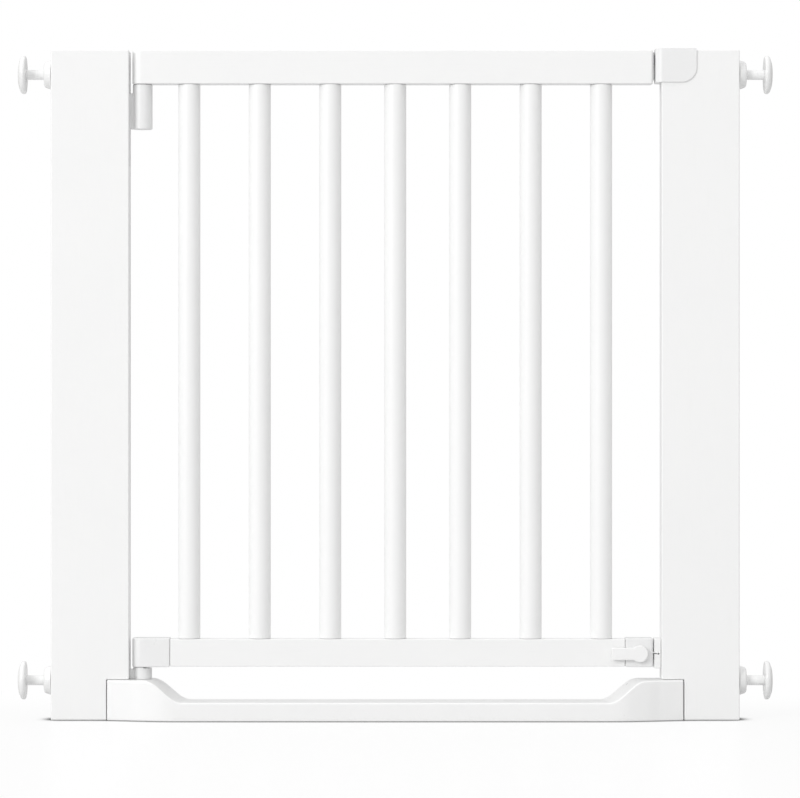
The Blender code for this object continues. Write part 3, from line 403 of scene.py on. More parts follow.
# satin paint over beech, with the grain along Z on uprights and along X on rails
def makeLacquer(name, grainAxis):
    finish, tree, shader, place = startFinish(name, 0.36)
    scale = [lacquer["grainAcross"]] * 3
    scale["XYZ".index(grainAxis)] = lacquer["grainAlong"]
    tone = useGroup(tree, toneDrift, place, Scale=lacquer["drift"], Light=lacquer["light"], Dark=lacquer["dark"])
    coat = useGroup(tree, sprayedCoat, place, Grain_Vector=stretched(tree, place, scale),
                    Peel_Scale=lacquer["peel"])
    marks = useGroup(tree, handlingMarks, place)
    faint = addMath(tree, "MULTIPLY", coat["Pores"], lacquer["poreShow"])
    feed(tree, shader, "Base Color", addMix(tree, faint, tone["Colour"], lacquer["pores"]))
    rough = addRange(tree, tone["Mask"], 0.0, 1.0, *lacquer["roughness"])
    feed(tree, shader, "Roughness", addMath(tree, "MULTIPLY_ADD", marks["Marks"], lacquer["scuff"], rough))
    addBump(tree, shader, coat["Height"], *lacquer["bump"])
    return finish


# what comes out of a mould, and the coat on the rods: base is roughness and specular, shine the weight of the glassy
# skin, drift, skin and flow the sizes of its tone, texture and sheen, and bump the texture's strength and depth
mouldings = {
    "barMoulding": dict(light=(0.905, 0.905, 0.903), dark=(0.893, 0.893, 0.891), shine=0.10, skin=1800.0,
                        bump=(0.08, 0.00004)),
    "fittingMoulding": dict(light=(0.845, 0.846, 0.846), dark=(0.833, 0.834, 0.834), shine=0.25, skin=2200.0,
                            bump=(0.06, 0.00004)),
    "padMoulding": dict(light=(0.850, 0.850, 0.848), dark=(0.838, 0.838, 0.836), shine=0.30, skin=2600.0,
                        bump=(0.04, 0.00004)),
    "rodCoating": dict(light=(0.885, 0.886, 0.885), dark=(0.873, 0.874, 0.873), shine=0.15, skin=3000.0,
                       bump=(0.05, 0.00004)),
    "paleRubber": dict(light=(0.80, 0.80, 0.79), dark=(0.74, 0.74, 0.73), base=(0.7, 0.3), drift=60.0, skin=2600.0,
                       flow=90.0, sheen=(0.3, 0.7), roughness=(0.6, 0.82), bump=(0.35, 0.00008)),
    "bushNylon": dict(light=(0.78, 0.77, 0.73), dark=(0.70, 0.69, 0.65), base=(0.5, 0.5), drift=120.0, skin=2200.0,
                      flow=140.0, sheen=(0.3, 0.7), roughness=(0.4, 0.58), bump=(0.15, 0.00004)),
}


def makeMoulded(name, light, dark, bump, skin, base=(0.3, 0.5), shine=0.0, drift=9.0, flow=30.0, sheen=(0.2, 0.8),
                roughness=(0.27, 0.33)):
    finish, tree, shader, place = startFinish(name, *base, coat=shine, coatRoughness=0.12)
    tone = useGroup(tree, toneDrift, place, Scale=drift, Light=light, Dark=dark)
    texture = useGroup(tree, mouldSkin, place, Scale=skin, Flow_Scale=flow)
    feed(tree, shader, "Base Color", tone["Colour"])
    feed(tree, shader, "Roughness", addRange(tree, texture["Sheen"], *sheen, *roughness))
    addBump(tree, shader, texture["Height"], *bump)
    return finish


def makeZinc():
    finish, tree, shader, place = startFinish("zincPlate", 0.35, 0.5, 1.0)
    coat = useGroup(tree, zincSpangle, place)
    feed(tree, shader, "Base Color", coat["Colour"])
    feed(tree, shader, "Roughness", coat["Roughness"])
    addBump(tree, shader, coat["Height"], 0.2, 0.00003)
    return finish


uprightLacquer, railLacquer = makeLacquer("uprightLacquer", "Z"), makeLacquer("railLacquer", "X")
zincPlate = makeZinc()
barMoulding, fittingMoulding, padMoulding, rodCoating, paleRubber, bushNylon = (
    makeMoulded(name, **plan) for name, plan in mouldings.items())
print("finishes made")


# Screws

screwPlan = dict(rim=0.0004, recessDepth=0.45, recessArm=0.34, recessWidth=0.11)   # recess as shares of the head
longScrew = dict(length=0.063, head=0.0090, shank=0.0044)
woodScrew = dict(length=0.018, head=0.0070, shank=0.0034)
capScrew = dict(length=0.014, head=0.0060, shank=0.0030)
screws = {
    "threshold_screw_left": dict(drive=(1, 0, 0), **longScrew),
    "threshold_screw_right": dict(drive=(-1, 0, 0), **longScrew),
    "bracket_screw_lower": dict(drive=(-1, 0, 0), **woodScrew),
    "bracket_screw_upper": dict(drive=(-1, 0, 0), **woodScrew),
    "lower_catch_screw": dict(drive=(1, 0, 0), **woodScrew),
    "catch_cap_screw": dict(drive=(0, -1, 0), **capScrew),
    "hinge_cap_screw": dict(drive=(0, -1, 0), **capScrew),
    "latch_cap_screw": dict(drive=(0, -1, 0), **capScrew),
    "strike_screw": dict(drive=(-1, 0, 0), length=0.014, head=0.0050, shank=0.0026),
}


def screwHead(node):
    low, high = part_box(node)
    drive = Vector(screws[node]["drive"])
    centre = (low + high) / 2
    return centre - drive * abs((high - low).dot(drive)) / 2


def screwProfile(plan, play=0.0):
    head, shank = plan["head"] / 2 + play, plan["shank"] / 2 + play
    sunk = screwPlan["rim"] + (plan["head"] - plan["shank"]) / 2
    return [(0, play), (head, play), (head, -screwPlan["rim"]), (shank, -sunk),
            (shank, shank - plan["length"]), (0, -plan["length"] - play)]


def screwHole(node):
    plan = screws[node]
    return turned(pieceName("hole", node), screwProfile(plan, gap), screwHead(node), -Vector(plan["drive"]), 32)


def makeScrew(node):
    plan = screws[node]
    drive, head = Vector(plan["drive"]), screwHead(node)
    piece = turned(pieceName("driven", node), screwProfile(plan), head, -drive, 32)
    arm, width = plan["head"] * screwPlan["recessArm"], plan["head"] * screwPlan["recessWidth"]
    depth = plan["head"] * screwPlan["recessDepth"]
    side = Vector((0, 0, 1))
    other = drive.cross(side)
    for long, wide in ((side, other), (other, side)):
        half = long * arm + wide * width
        start, end = head - drive * gap - half, head + drive * depth + half
        low = [min(a, b) for a, b in zip(start, end)]
        high = [max(a, b) for a, b in zip(start, end)]
        cut(piece, block("recess", low, high))
    return done(piece, zincPlate, node)


# Posts

postPlan = dict(edge=0.0013, notchGap=0.0006, sleeveHole=0.0156, sleeveDepth=0.057, counterbore=0.0102,
                plateDepth=0.018, plateThick=0.0024, plateHeight=0.080, pocketHalf=0.0061)


def makePost(side):
    node = "left_post" if side < 0 else "right_post"
    low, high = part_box(node)
    inner, outer = sorted((abs(low.x), abs(high.x)))
    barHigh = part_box("threshold")[1]
    notchSide, notchTop = barHigh.x + postPlan["notchGap"], barHigh.z + gap
    outline = [(inner, notchTop), (notchSide, notchTop), (notchSide, low.z), (outer, low.z),
               (outer, high.z), (inner, high.z)]
    piece = slab(pieceName("board", node), [(side * x, z) for x, z in outline], low.y, high.y, "Y")
    rounded(piece, postPlan["edge"], 4)
    label = "left" if side < 0 else "right"
    for level in ("bottom", "top"):
        height = middle(f"guide_sleeve_{level}_{label}").z
        cut(piece, rod("sleeveHole", postPlan["sleeveHole"] / 2,
                       (side * (outer + through), 0, height),
                       (side * (outer - postPlan["sleeveDepth"]), 0, height)))
    screw = "threshold_screw_" + label
    head = screwHead(screw)
    cut(piece, rod("counterbore", postPlan["counterbore"] / 2, (side * (outer + through), 0, head.z),
                   (head.x - side * gap, 0, head.z)), screwHole(screw))
    return piece


def makePosts():
    left, right = makePost(-1), makePost(1)
    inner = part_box("left_post")[1].x
    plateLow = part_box("top_hinge_bracket")[0]
    half = postPlan["plateDepth"] / 2 + gap
    seatLow = (plateLow.x - gap, -half, plateLow.z - gap)
    seatHigh = (inner + through, half, plateLow.z + postPlan["plateHeight"] + gap)
    cut(left, block("plateSeat", seatLow, seatHigh), screwHole("bracket_screw_lower"),
        screwHole("bracket_screw_upper"))
    boltLow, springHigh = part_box("latch_bolt")[0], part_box("latch_spring")[1]
    postLow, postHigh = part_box("right_post")
    half = postPlan["pocketHalf"]
    cut(right, block("latchPocket", (postLow.x - through, -half, boltLow.z - gap),
                     (springHigh.x + 2 * gap, half, postHigh.z + through)),
        screwHole("catch_cap_screw"), screwHole("lower_catch_screw"))
    done(left, uprightLacquer, "left_post")
    done(right, uprightLacquer, "right_post")
    print("posts made")


# Threshold

barPlan = dict(blockFront=0.0195, barFront=0.038, flare=0.27, blend=0.0028, barHeight=0.0205,
               curveTop=0.021, curveRun=0.0415, skew=0.004, edge=0.0022, edgeSteps=6, rim=0.0011,
               skin=0.0045, pockets=4, rib=0.005, web=0.016, step=0.002,
               settle=0.032, endGap=0.0003, spigot=0.0106, spigotDepth=0.0136, pocketEdge=0.002)


def barFace(across):
    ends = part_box("threshold")[1].x
    flared = barPlan["blockFront"] + (ends - abs(across)) * barPlan["flare"]
    start, blend = barPlan["barFront"] - barPlan["blend"], barPlan["blend"]
    if flared <= start:
        return flared
    if flared >= barPlan["barFront"] + blend:
        return barPlan["barFront"]
    return flared - (flared - start) ** 2 / (4 * blend)


def barStation(across, inner, blockTop):
    start = inner - barPlan["curveTop"]
    share = min(max((start - abs(across)) / barPlan["curveRun"], 0.0), 1.0)
    height = blockTop - (blockTop - barPlan["barHeight"]) * (1 - math.cos(math.pi * share)) / 2
    ease = min(max((inner - abs(across)) / barPlan["curveTop"], 0.0), 1.0)
    skew = math.copysign(barPlan["skew"] * ease * ease * (3 - 2 * ease), across)
    front, back, edge = -barFace(across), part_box("threshold")[1].y, barPlan["edge"]
    steps = barPlan["edgeSteps"]
    outline = [(front, 0)] + arc((front + edge, height - edge), edge, 180, 90, steps)
    outline += arc((back - edge, height - edge), edge, 90, 0, steps) + [(back, 0)]
    centre, half = (front + back) / 2, (back - front) / 2
    fade = min(max(1 - (start - barPlan["curveRun"] - abs(across)) / barPlan["settle"], 0.0), 1.0)
    return [(across + skew * fade * (centre - y) / half, y, z) for y, z in outline]


def makeThreshold():
    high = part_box("threshold")[1]
    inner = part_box("right_post")[0].x
    curveEnd = inner - barPlan["curveTop"] - barPlan["curveRun"]
    shoulder = curveEnd - barPlan["settle"]
    end = high.x - barPlan["endGap"]
    count = round((end - shoulder) / barPlan["step"])
    right = [end - (end - shoulder) * i / count for i in range(count + 1)]
    places = right + [shoulder * 0.75, shoulder * 0.5, shoulder * 0.25]
    places = [-x for x in places] + [0.0] + places[::-1]
    piece = lofted("mouldedThreshold", [barStation(x, inner, high.z) for x in places])
    rounded(piece, barPlan["rim"], 3, 55)
    start = barPlan["web"] / 2
    end = curveEnd - barPlan["skew"]
    pitch = (end - start + barPlan["rib"]) / barPlan["pockets"]
    skin = barPlan["skin"]
    for side in (-1, 1):
        for i in range(barPlan["pockets"]):
            near, far = start + i * pitch, start + (i + 1) * pitch - barPlan["rib"]
            pocket = block("pocket", (min(side * near, side * far), skin - barPlan["barFront"], -through),
                           (max(side * near, side * far), high.y - skin, barPlan["barHeight"] - skin))
            cut(piece, rounded(pocket, barPlan["pocketEdge"], 3))
    pivot = middle("lower_pivot_pin")
    cut(piece, rod("spigotHole", barPlan["spigot"] / 2, (pivot.x, 0, high.z + through),
                   (pivot.x, 0, high.z - barPlan["spigotDepth"])),
        screwHole("threshold_screw_left"), screwHole("threshold_screw_right"))
    done(piece, barMoulding, "threshold", 40)
    print("threshold made")


makePosts()
makeThreshold()


# Leaf

leafPlan = dict(edge=0.0011, corner=0.003, capEdge=0.0014, bushHole=0.0136, bushDepth=0.0216,
                tenon=0.014, tenonLength=0.015, hingeTenon=0.012, latchTenon=0.007,
                tenonDepth=0.019, tenonHeight=0.023, barDiameter=0.024, barEase=0.0004, boltReach=0.009,
                plateEdge=0.0005)
hinge = Vector((middle("top_hinge_pin").x, 0, 0))
barNodes = [f"spindle_{i}" for i in range(1, 8)]


def hingeEnd(half, reach):
    flat = math.degrees(math.acos(-reach / half))
    return arc((hinge.x, 0), half, 90, flat, 14) + arc((hinge.x, 0), half, 360 - flat, 270, 14)


def latchEnd(right, half):
    corner = leafPlan["corner"]
    return (arc((right - corner, corner - half), corner, 270, 360, 6)
            + arc((right - corner, half - corner), corner, 0, 90, 6))


def mortises(low, high):
    return [rod("mortise", leafPlan["tenon"] / 2 + gap, (middle(bar).x, 0, low), (middle(bar).x, 0, high), 32)
            for bar in barNodes]


def makeTopRail():
    low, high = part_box("top_rail")
    outline = hingeEnd(high.y, hinge.x - low.x) + latchEnd(high.x, high.y)
    piece = rounded(slab("woodenTopRail", outline, low.z, high.z), leafPlan["edge"], 4)
    plateLow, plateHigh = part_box("strike_plate")
    boltLow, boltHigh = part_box("latch_bolt")
    cut(piece, rod("bushHole", leafPlan["bushHole"] / 2, (hinge.x, 0, low.z - through),
                   (hinge.x, 0, low.z + leafPlan["bushDepth"])),
        block("plateSeat", (plateLow.x - gap, plateLow.y - gap, plateLow.z - gap),
              (high.x + through, plateHigh.y + gap, plateHigh.z + gap)),
        block("boltPocket", (boltLow.x - leafPlan["boltReach"], boltLow.y - 4 * gap, boltLow.z - 2 * gap),
              (high.x + through, boltHigh.y + 4 * gap, boltHigh.z + 2 * gap)),
        screwHole("strike_screw"),
        *mortises(low.z - through, low.z + leafPlan["tenonLength"] + gap))
    return done(piece, railLacquer, "top_rail")


def makeBottomRail():
    low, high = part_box("bottom_rail")
    start, end = low.x + leafPlan["hingeTenon"], high.x - leafPlan["latchTenon"]
    piece = rounded(block("woodenBottomRail", (start, low.y, low.z), (end, high.y, high.z)), leafPlan["edge"], 4)
    deep, tall = leafPlan["tenonDepth"] / 2, leafPlan["tenonHeight"] / 2
    centre = (low.z + high.z) / 2
    join(piece, block("hingeTenon", (low.x, -deep, centre - tall), (start + 2 * through, deep, centre + tall)),
         block("latchTenon", (end - 2 * through, -deep, centre - tall), (high.x, deep, centre + tall)))
    cut(piece, screwHole("hinge_cap_screw"), screwHole("latch_cap_screw"),
        *mortises(high.z - leafPlan["tenonLength"] - gap, high.z + through))
    return done(piece, railLacquer, "bottom_rail")


def makeBar(node):
    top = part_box("top_rail")[0].z - gap
    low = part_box("bottom_rail")[1].z + gap
    radius, tenon, length = leafPlan["barDiameter"] / 2, leafPlan["tenon"] / 2, leafPlan["tenonLength"]
    ease = leafPlan["barEase"]
    profile = [(0, top + length), (tenon - ease, top + length), (tenon, top + length - ease), (tenon, top),
               (radius - ease, top), (radius, top - ease)]
    profile += [(radius, top - (top - low) * i / 8) for i in range(1, 8)]
    profile += [(radius, low + ease), (radius - ease, low), (tenon, low), (tenon, low - length + ease),
                (tenon - ease, low - length), (0, low - length)]
    piece = turned(pieceName("round", node.replace("spindle", "bar")), profile, (middle(node).x, 0, 0), steps=72)
    return done(piece, uprightLacquer, node)


def makeHingeCap():
    low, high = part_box("hinge_end_cap")
    railLow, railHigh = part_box("bottom_rail")
    deep, tall = leafPlan["tenonDepth"] / 2 + gap, leafPlan["tenonHeight"] / 2 + gap
    centre = (railLow.z + railHigh.z) / 2
    outline = hingeEnd(high.y, hinge.x - low.x) + [(high.x, -high.y), (high.x, high.y)]
    piece = rounded(slab("mouldedHingeCap", outline, low.z, high.z), leafPlan["capEdge"], 4)
    cut(piece, block("socket", (railLow.x - gap, -deep, centre - tall), (high.x + through, deep, centre + tall)),
        rod("bushHole", leafPlan["bushHole"] / 2, (hinge.x, 0, low.z - through),
            (hinge.x, 0, low.z + leafPlan["bushDepth"])), screwHole("hinge_cap_screw"))
    return done(piece, fittingMoulding, "hinge_end_cap")


lockPlan = dict(height=0.0722, hub=0.0144, hubBack=0.00535, boss=0.0182, reach=0.0306, tab=0.0134, tabCorner=0.0022,
                thick=0.0058, stud=0.0036, crank=0.0046, edge=0.0011, hubRoot=0.003, studRoot=0.001, boltEdge=0.0006)
lock = Vector((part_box("lock_lever")[1].x - lockPlan["boss"] / 2, 0, lockPlan["height"]))


def makeLatchCap():
    low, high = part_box("latch_end_cap")
    railLow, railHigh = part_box("bottom_rail")
    boltLow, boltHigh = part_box("lower_bolt")
    deep, tall = leafPlan["tenonDepth"] / 2 + gap, leafPlan["tenonHeight"] / 2 + gap
    centre = (railLow.z + railHigh.z) / 2
    outline = [(low.x, high.y), (low.x, -high.y)] + latchEnd(high.x, high.y)
    piece = rounded(slab("mouldedLatchCap", outline, low.z, high.z), leafPlan["capEdge"], 4)
    studTop = lock.z + lockPlan["crank"] + lockPlan["stud"] / 2
    cut(piece, block("socket", (low.x - through, -deep, centre - tall), (railHigh.x + gap, deep, centre + tall)),
        rod("hubWay", lockPlan["hub"] / 2 + run, (lock.x, low.y - through, lock.z),
            (lock.x, gap - lockPlan["hubBack"], lock.z)),
        block("boltWay", (boltLow.x - 2 * gap, -lockPlan["hubBack"], boltLow.z - gap),
              (high.x + through, boltHigh.y + gap, studTop + 2 * gap)),
        screwHole("latch_cap_screw"))
    return done(piece, fittingMoulding, "latch_end_cap")


def makeLever():
    low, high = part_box("lock_lever")
    radius, half = lockPlan["boss"] / 2, lockPlan["tab"] / 2
    corner = lockPlan["tabCorner"]
    front, back = low.y, low.y + lockPlan["thick"]
    leave = 180 - math.degrees(math.asin(half / radius))
    end = lock.x - lockPlan["reach"]
    outline = arc((lock.x, lock.z), radius, -leave, leave, 40)
    outline += arc((end + corner, lock.z + half - corner), corner, 90, 180, 6)
    outline += arc((end + corner, lock.z - half + corner), corner, 180, 270, 6)
    piece = rounded(slab("mouldedLever", outline, front, back, "Y"), lockPlan["edge"], 4)
    slant = lockPlan["crank"] * math.sqrt(0.5)
    studPlace = (lock.x - slant, lock.z + slant)
    hubBack = -lockPlan["hubBack"]
    join(piece, rod("hub", lockPlan["hub"] / 2, (lock.x, back - lockPlan["hubRoot"], lock.z),
                    (lock.x, hubBack, lock.z)))
    join(piece, rod("stud", lockPlan["stud"] / 2, (studPlace[0], hubBack - lockPlan["studRoot"], studPlace[1]),
                    (studPlace[0], high.y, studPlace[1]), 24))
    return done(piece, barMoulding, "lock_lever")


def makeLowerBolt():
    low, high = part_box("lower_bolt")
    piece = rounded(block("slidingLowerBolt", low, high), lockPlan["boltEdge"], 3)
    slant = lockPlan["crank"] * math.sqrt(0.5)
    half = lockPlan["stud"] / 2 + 2 * run
    cut(piece, block("slot", (lock.x - slant - half, low.y * 2, lock.z + slant - half),
                     (lock.x - slant + half, high.y * 2, high.z + through)))
    return done(piece, zincPlate, "lower_bolt")


def makeStrikePlate():
    low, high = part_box("strike_plate")
    boltLow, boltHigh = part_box("latch_bolt")
    piece = rounded(block("bentStrikePlate", low, high), leafPlan["plateEdge"], 3)
    cut(piece, block("window", (low.x - through, boltLow.y - 4 * gap, boltLow.z - 2 * gap),
                     (high.x + through, boltHigh.y + 4 * gap, boltHigh.z + 2 * gap)), screwHole("strike_screw"))
    return done(piece, zincPlate, "strike_plate")


makeTopRail()
makeBottomRail()
for bar in barNodes:
    makeBar(bar)
makeHingeCap()
makeLatchCap()
makeLever()
makeLowerBolt()
makeStrikePlate()
print("leaf made")


# Pivots

pivotPlan = dict(barrel=0.0215, barrelLength=0.049, barrelEdge=0.0012, web=0.010, webEnd=0.006, webHeight=0.0395,
                 bore=0.0086, boreDepth=0.0290, socket=0.0204, spigot=0.010, rimCut=0.0012,
                 webEdge=0.0008, plateEdge=0.0004, socketEdge=0.0006, socketWebEnd=0.004)


def makeTopBracket():
    low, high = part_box("top_hinge_bracket")
    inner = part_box("left_post")[1].x
    radius, edge = pivotPlan["barrel"] / 2, pivotPlan["barrelEdge"]
    barrelLow = high.z - pivotPlan["barrelLength"]
    bore, boreEnd = pivotPlan["bore"] / 2, high.z - pivotPlan["boreDepth"]
    profile = [(0, boreEnd), (bore, boreEnd), (bore, high.z)]
    profile += arc((radius - edge, high.z - edge), edge, 90, 0, 5)
    profile += arc((radius - edge, barrelLow + edge), edge, 0, -90, 5) + [(0, barrelLow)]
    piece = turned("mouldedTopBracket", profile, hinge, steps=72)
    half = pivotPlan["web"] / 2
    web = block("web", (inner - postPlan["plateThick"] / 2, -half, barrelLow + gap),
                (hinge.x - pivotPlan["webEnd"], half, barrelLow + pivotPlan["webHeight"]))
    plateTop = low.z + postPlan["plateHeight"]
    plate = block("plate", (inner - postPlan["plateThick"], -postPlan["plateDepth"] / 2, low.z),
                  (inner, postPlan["plateDepth"] / 2, plateTop))
    join(piece, rounded(web, pivotPlan["webEdge"], 3), rounded(plate, pivotPlan["plateEdge"], 2))
    cut(piece, screwHole("bracket_screw_lower"), screwHole("bracket_screw_upper"))
    return done(piece, fittingMoulding, "top_hinge_bracket")


def makeLowerSocket():
    low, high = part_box("lower_pivot_socket")
    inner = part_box("left_post")[1].x
    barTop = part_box("threshold")[1].z
    radius, spigot, edge = pivotPlan["socket"] / 2, pivotPlan["spigot"] / 2, pivotPlan["socketEdge"]
    profile = [(0, high.z)] + arc((radius - edge, high.z - edge), edge, 90, 0, 4)
    profile += [(radius, barTop + gap), (spigot, barTop + gap), (spigot, low.z), (0, low.z)]
    piece = turned("mouldedLowerSocket", profile, hinge, steps=72)
    half = pivotPlan["web"] / 2
    join(piece, block("web", (inner + gap, -half, barTop + gap),
                      (hinge.x - pivotPlan["socketWebEnd"], half, high.z - 2 * pivotPlan["rimCut"])))
    cut(piece, block("rimCut", (hinge.x + pivotPlan["rimCut"], -radius * 2, high.z - pivotPlan["rimCut"]),
                     (hinge.x + radius * 2, radius * 2, high.z + through)),
        rod("bore", pivotPlan["bore"] / 2, (hinge.x, 0, barTop + 2 * gap), (hinge.x, 0, high.z + through)))
    return done(piece, fittingMoulding, "lower_pivot_socket")


makeTopBracket()
makeLowerSocket()
print("pivots made")


# Top latch

catchPlan = dict(corner=0.016, nose=0.0085, edge=0.0013, sliderEdge=0.0008,
                 grooves=4, grooveWidth=0.0010, grooveDepth=0.0004,
                 travel=0.007, peg=0.0045, pegHole=0.0051, boltEdge=0.0010)


def makeCatchCap():
    low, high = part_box("catch_cap")
    postLow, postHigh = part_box("right_post")
    corner, nose, half = catchPlan["corner"], catchPlan["nose"], high.y
    face = [(low.x, high.z), (low.x, low.z)]
    face += arc((high.x - corner, low.z + corner), corner, 270, 360, 16) + [(high.x, high.z)]
    piece = slab("mouldedCatchCap", face, -half, half, "Y")
    plan = arc((low.x + nose, half - nose), nose, 90, 180, 12) + arc((low.x + nose, nose - half), nose, 180, 270, 12)
    plan += [(high.x + through, -half), (high.x + through, half)]
    combined(piece, [slab("plan", plan, low.z - through, high.z + through)], "INTERSECT")
    rounded(piece, catchPlan["edge"], 4)
    boltLow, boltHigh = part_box("latch_bolt")
    sliderLow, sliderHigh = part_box("release_slider")
    cut(piece, block("hollow", (postLow.x - gap, postLow.y - gap, low.z - through),
                     (high.x + through, postHigh.y + gap, postHigh.z + gap)),
        block("boltWay", (low.x - through, boltLow.y - run, boltLow.z - run),
              (postLow.x + through, boltHigh.y + run, boltHigh.z + run)),
        block("sliderSlot", (sliderLow.x - catchPlan["travel"] - gap, sliderLow.y - gap, postHigh.z - through),
              (sliderHigh.x + gap, sliderHigh.y + gap, high.z + through)),
        screwHole("catch_cap_screw"))
    return done(piece, fittingMoulding, "catch_cap")


def makeReleaseSlider():
    low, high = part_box("release_slider")
    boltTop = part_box("latch_bolt")[1].z
    piece = rounded(block("mouldedReleaseSlider", (low.x, low.y, boltTop + gap), high),
                    catchPlan["sliderEdge"], 3)
    centre = (low + high) / 2
    join(piece, rod("peg", catchPlan["peg"] / 2, (centre.x, 0, low.z), (centre.x, 0, boltTop + 2 * gap), 24))
    pitch = (high.x - low.x) / (catchPlan["grooves"] + 1)
    wide, deep = catchPlan["grooveWidth"] / 2, catchPlan["grooveDepth"]
    for i in range(1, catchPlan["grooves"] + 1):
        place = low.x + i * pitch
        cut(piece, block("groove", (place - wide, low.y * 2, high.z - deep),
                         (place + wide, high.y * 2, high.z + through)))
    return done(piece, fittingMoulding, "release_slider")


def makeLatchBolt():
    low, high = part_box("latch_bolt")
    piece = rounded(block("slidingLatchBolt", low, high), catchPlan["boltEdge"], 4)
    centre = middle("release_slider").x
    cut(piece, rod("pegHole", catchPlan["pegHole"] / 2, (centre, 0, (low.z + high.z) / 2),
                   (centre, 0, high.z + through), 24))
    return done(piece, zincPlate, "latch_bolt")


lowerCatchPlan = dict(edge=0.0009, slit=0.0012, slitDepth=0.0047)


def makeLowerCatch():
    low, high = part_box("lower_catch")
    boltLow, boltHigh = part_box("lower_bolt")
    piece = rounded(block("mouldedLowerCatch", low, high), lowerCatchPlan["edge"], 4)
    travel = lockPlan["crank"] * math.sqrt(2)
    slitEnd = low.x + lowerCatchPlan["slitDepth"]
    half = lowerCatchPlan["slit"] / 2
    cut(piece, block("pocket", (low.x - through, boltLow.y - 2 * gap, boltLow.z - 2 * gap),
                     (boltHigh.x + travel + 2 * gap, boltHigh.y + 2 * gap, boltHigh.z + 2 * gap)),
        block("slit", (low.x - through, low.y * 2, lock.z - half), (slitEnd, high.y * 2, lock.z + half)),
        rod("slitEnd", lowerCatchPlan["slit"], (slitEnd, low.y * 2, lock.z), (slitEnd, high.y * 2, lock.z), 24),
        screwHole("lower_catch_screw"))
    return done(piece, barMoulding, "lower_catch")


makeCatchCap()
makeReleaseSlider()
makeLatchBolt()
makeLowerCatch()
for screw in screws:
    makeScrew(screw)
print("latches and screws made")


# Pressure pads

padPlan = dict(radius=0.021, rubber=0.0160, recess=0.0013, thick=0.0066, innerRim=0.0024, rimWidth=0.0046,
               rimDepth=0.0040, socket=0.0058, socketDepth=0.0038, grooves=2, grooveDepth=0.0004, flat=0.0075,
               fall=0.0013, rubberEdge=0.0007, grooveWidth=0.0010, lip=0.0001)
nutPlan = dict(radius=0.0158, face=0.0104, shoulder=0.0146, thick=0.0080, bore=0.00565, corner=0.0034, rim=0.0006)
threadPlan = dict(radius=0.0055, depth=0.00014, pitch=0.002, perTurn=6, steps=30, lead=0.0015)


def makePadPlate(node, side, place):
    radius, rim, thick = padPlan["radius"], padPlan["innerRim"], padPlan["thick"]
    wide, deep = padPlan["rimWidth"], padPlan["rimDepth"]
    recess = padPlan["rubber"] + gap
    profile = [(0, thick - padPlan["recess"]), (recess, thick - padPlan["recess"]), (recess, thick - padPlan["lip"])]
    quarter = [math.radians(90 * i / 10) for i in range(11)]
    profile += [(radius - wide + wide * math.sin(a), thick - deep + deep * math.cos(a)) for a in quarter]
    profile += arc((radius - rim, rim), rim, 0, -90, 8)
    profile += [(padPlan["socket"], 0), (padPlan["socket"], padPlan["socketDepth"]), (0, padPlan["socketDepth"])]
    piece = turned(pieceName("moulded", node), profile, place, (side, 0, 0), 96)
    return done(piece, padMoulding, node)


def makePadRubber(node, side, place, high):
    radius, flat, fall = padPlan["rubber"], padPlan["flat"], padPlan["fall"]
    edge, half = padPlan["rubberEdge"], padPlan["grooveWidth"] / 2
    profile = [(0, high)]
    for i in range(1, padPlan["grooves"] + 1):
        centre = flat * i / (padPlan["grooves"] + 0.5)
        profile += [(centre - half, high), (centre - half * 0.6, high - padPlan["grooveDepth"]),
                    (centre + half * 0.6, high - padPlan["grooveDepth"]), (centre + half, high)]
    profile += [(flat + (radius - edge - flat) * i / 8, high - fall * (i / 8) ** 2) for i in range(9)]
    profile += arc((radius - edge, high - fall - edge), edge, 65, 0, 4) + [(radius, 0), (0, 0)]
    piece = turned(pieceName("moulded", node), profile, place, (side, 0, 0), 96)
    return done(piece, paleRubber, node)


def makeNut(node, side, place):
    radius, face, shoulder, thick, bore = (nutPlan[key] for key in ("radius", "face", "shoulder", "thick", "bore"))
    corner = nutPlan["corner"]
    profile = [(bore, thick), (face, thick)]
    profile += arc((shoulder - corner, thick - corner), corner, 80, 12, 10)
    rim = nutPlan["rim"]
    profile += [(radius, 2 * rim)] + arc((radius - rim, rim), rim, 0, -90, 4)
    profile += [(bore, 0), (bore, thick)]
    piece = turned(pieceName("moulded", node), profile, place, (side, 0, 0), 96)
    return done(piece, padMoulding, node)


def makeThreadedRod(node, side, start, end, height):
    plan = threadPlan
    count = round((end - start) / plan["pitch"] * plan["perTurn"])
    rings = []
    for i in range(count + 1):
        along = start + (end - start) * i / count
        lead = min(along - start, end - along) / plan["lead"]
        narrow = plan["depth"] * 2 * max(0.0, 1.0 - lead)
        ring = []
        for k in range(plan["steps"]):
            angle = 2 * math.pi * k / plan["steps"]
            crest = 0.5 + 0.5 * math.cos(2 * math.pi * along / plan["pitch"] - angle)
            radius = plan["radius"] - max(plan["depth"] * (1 - crest), narrow)
            ring.append((side * along, radius * math.cos(angle), height + side * radius * math.sin(angle)))
        rings.append(ring)
    piece = lofted(pieceName("screwed", node), rings)
    return done(piece, rodCoating, node, 80)


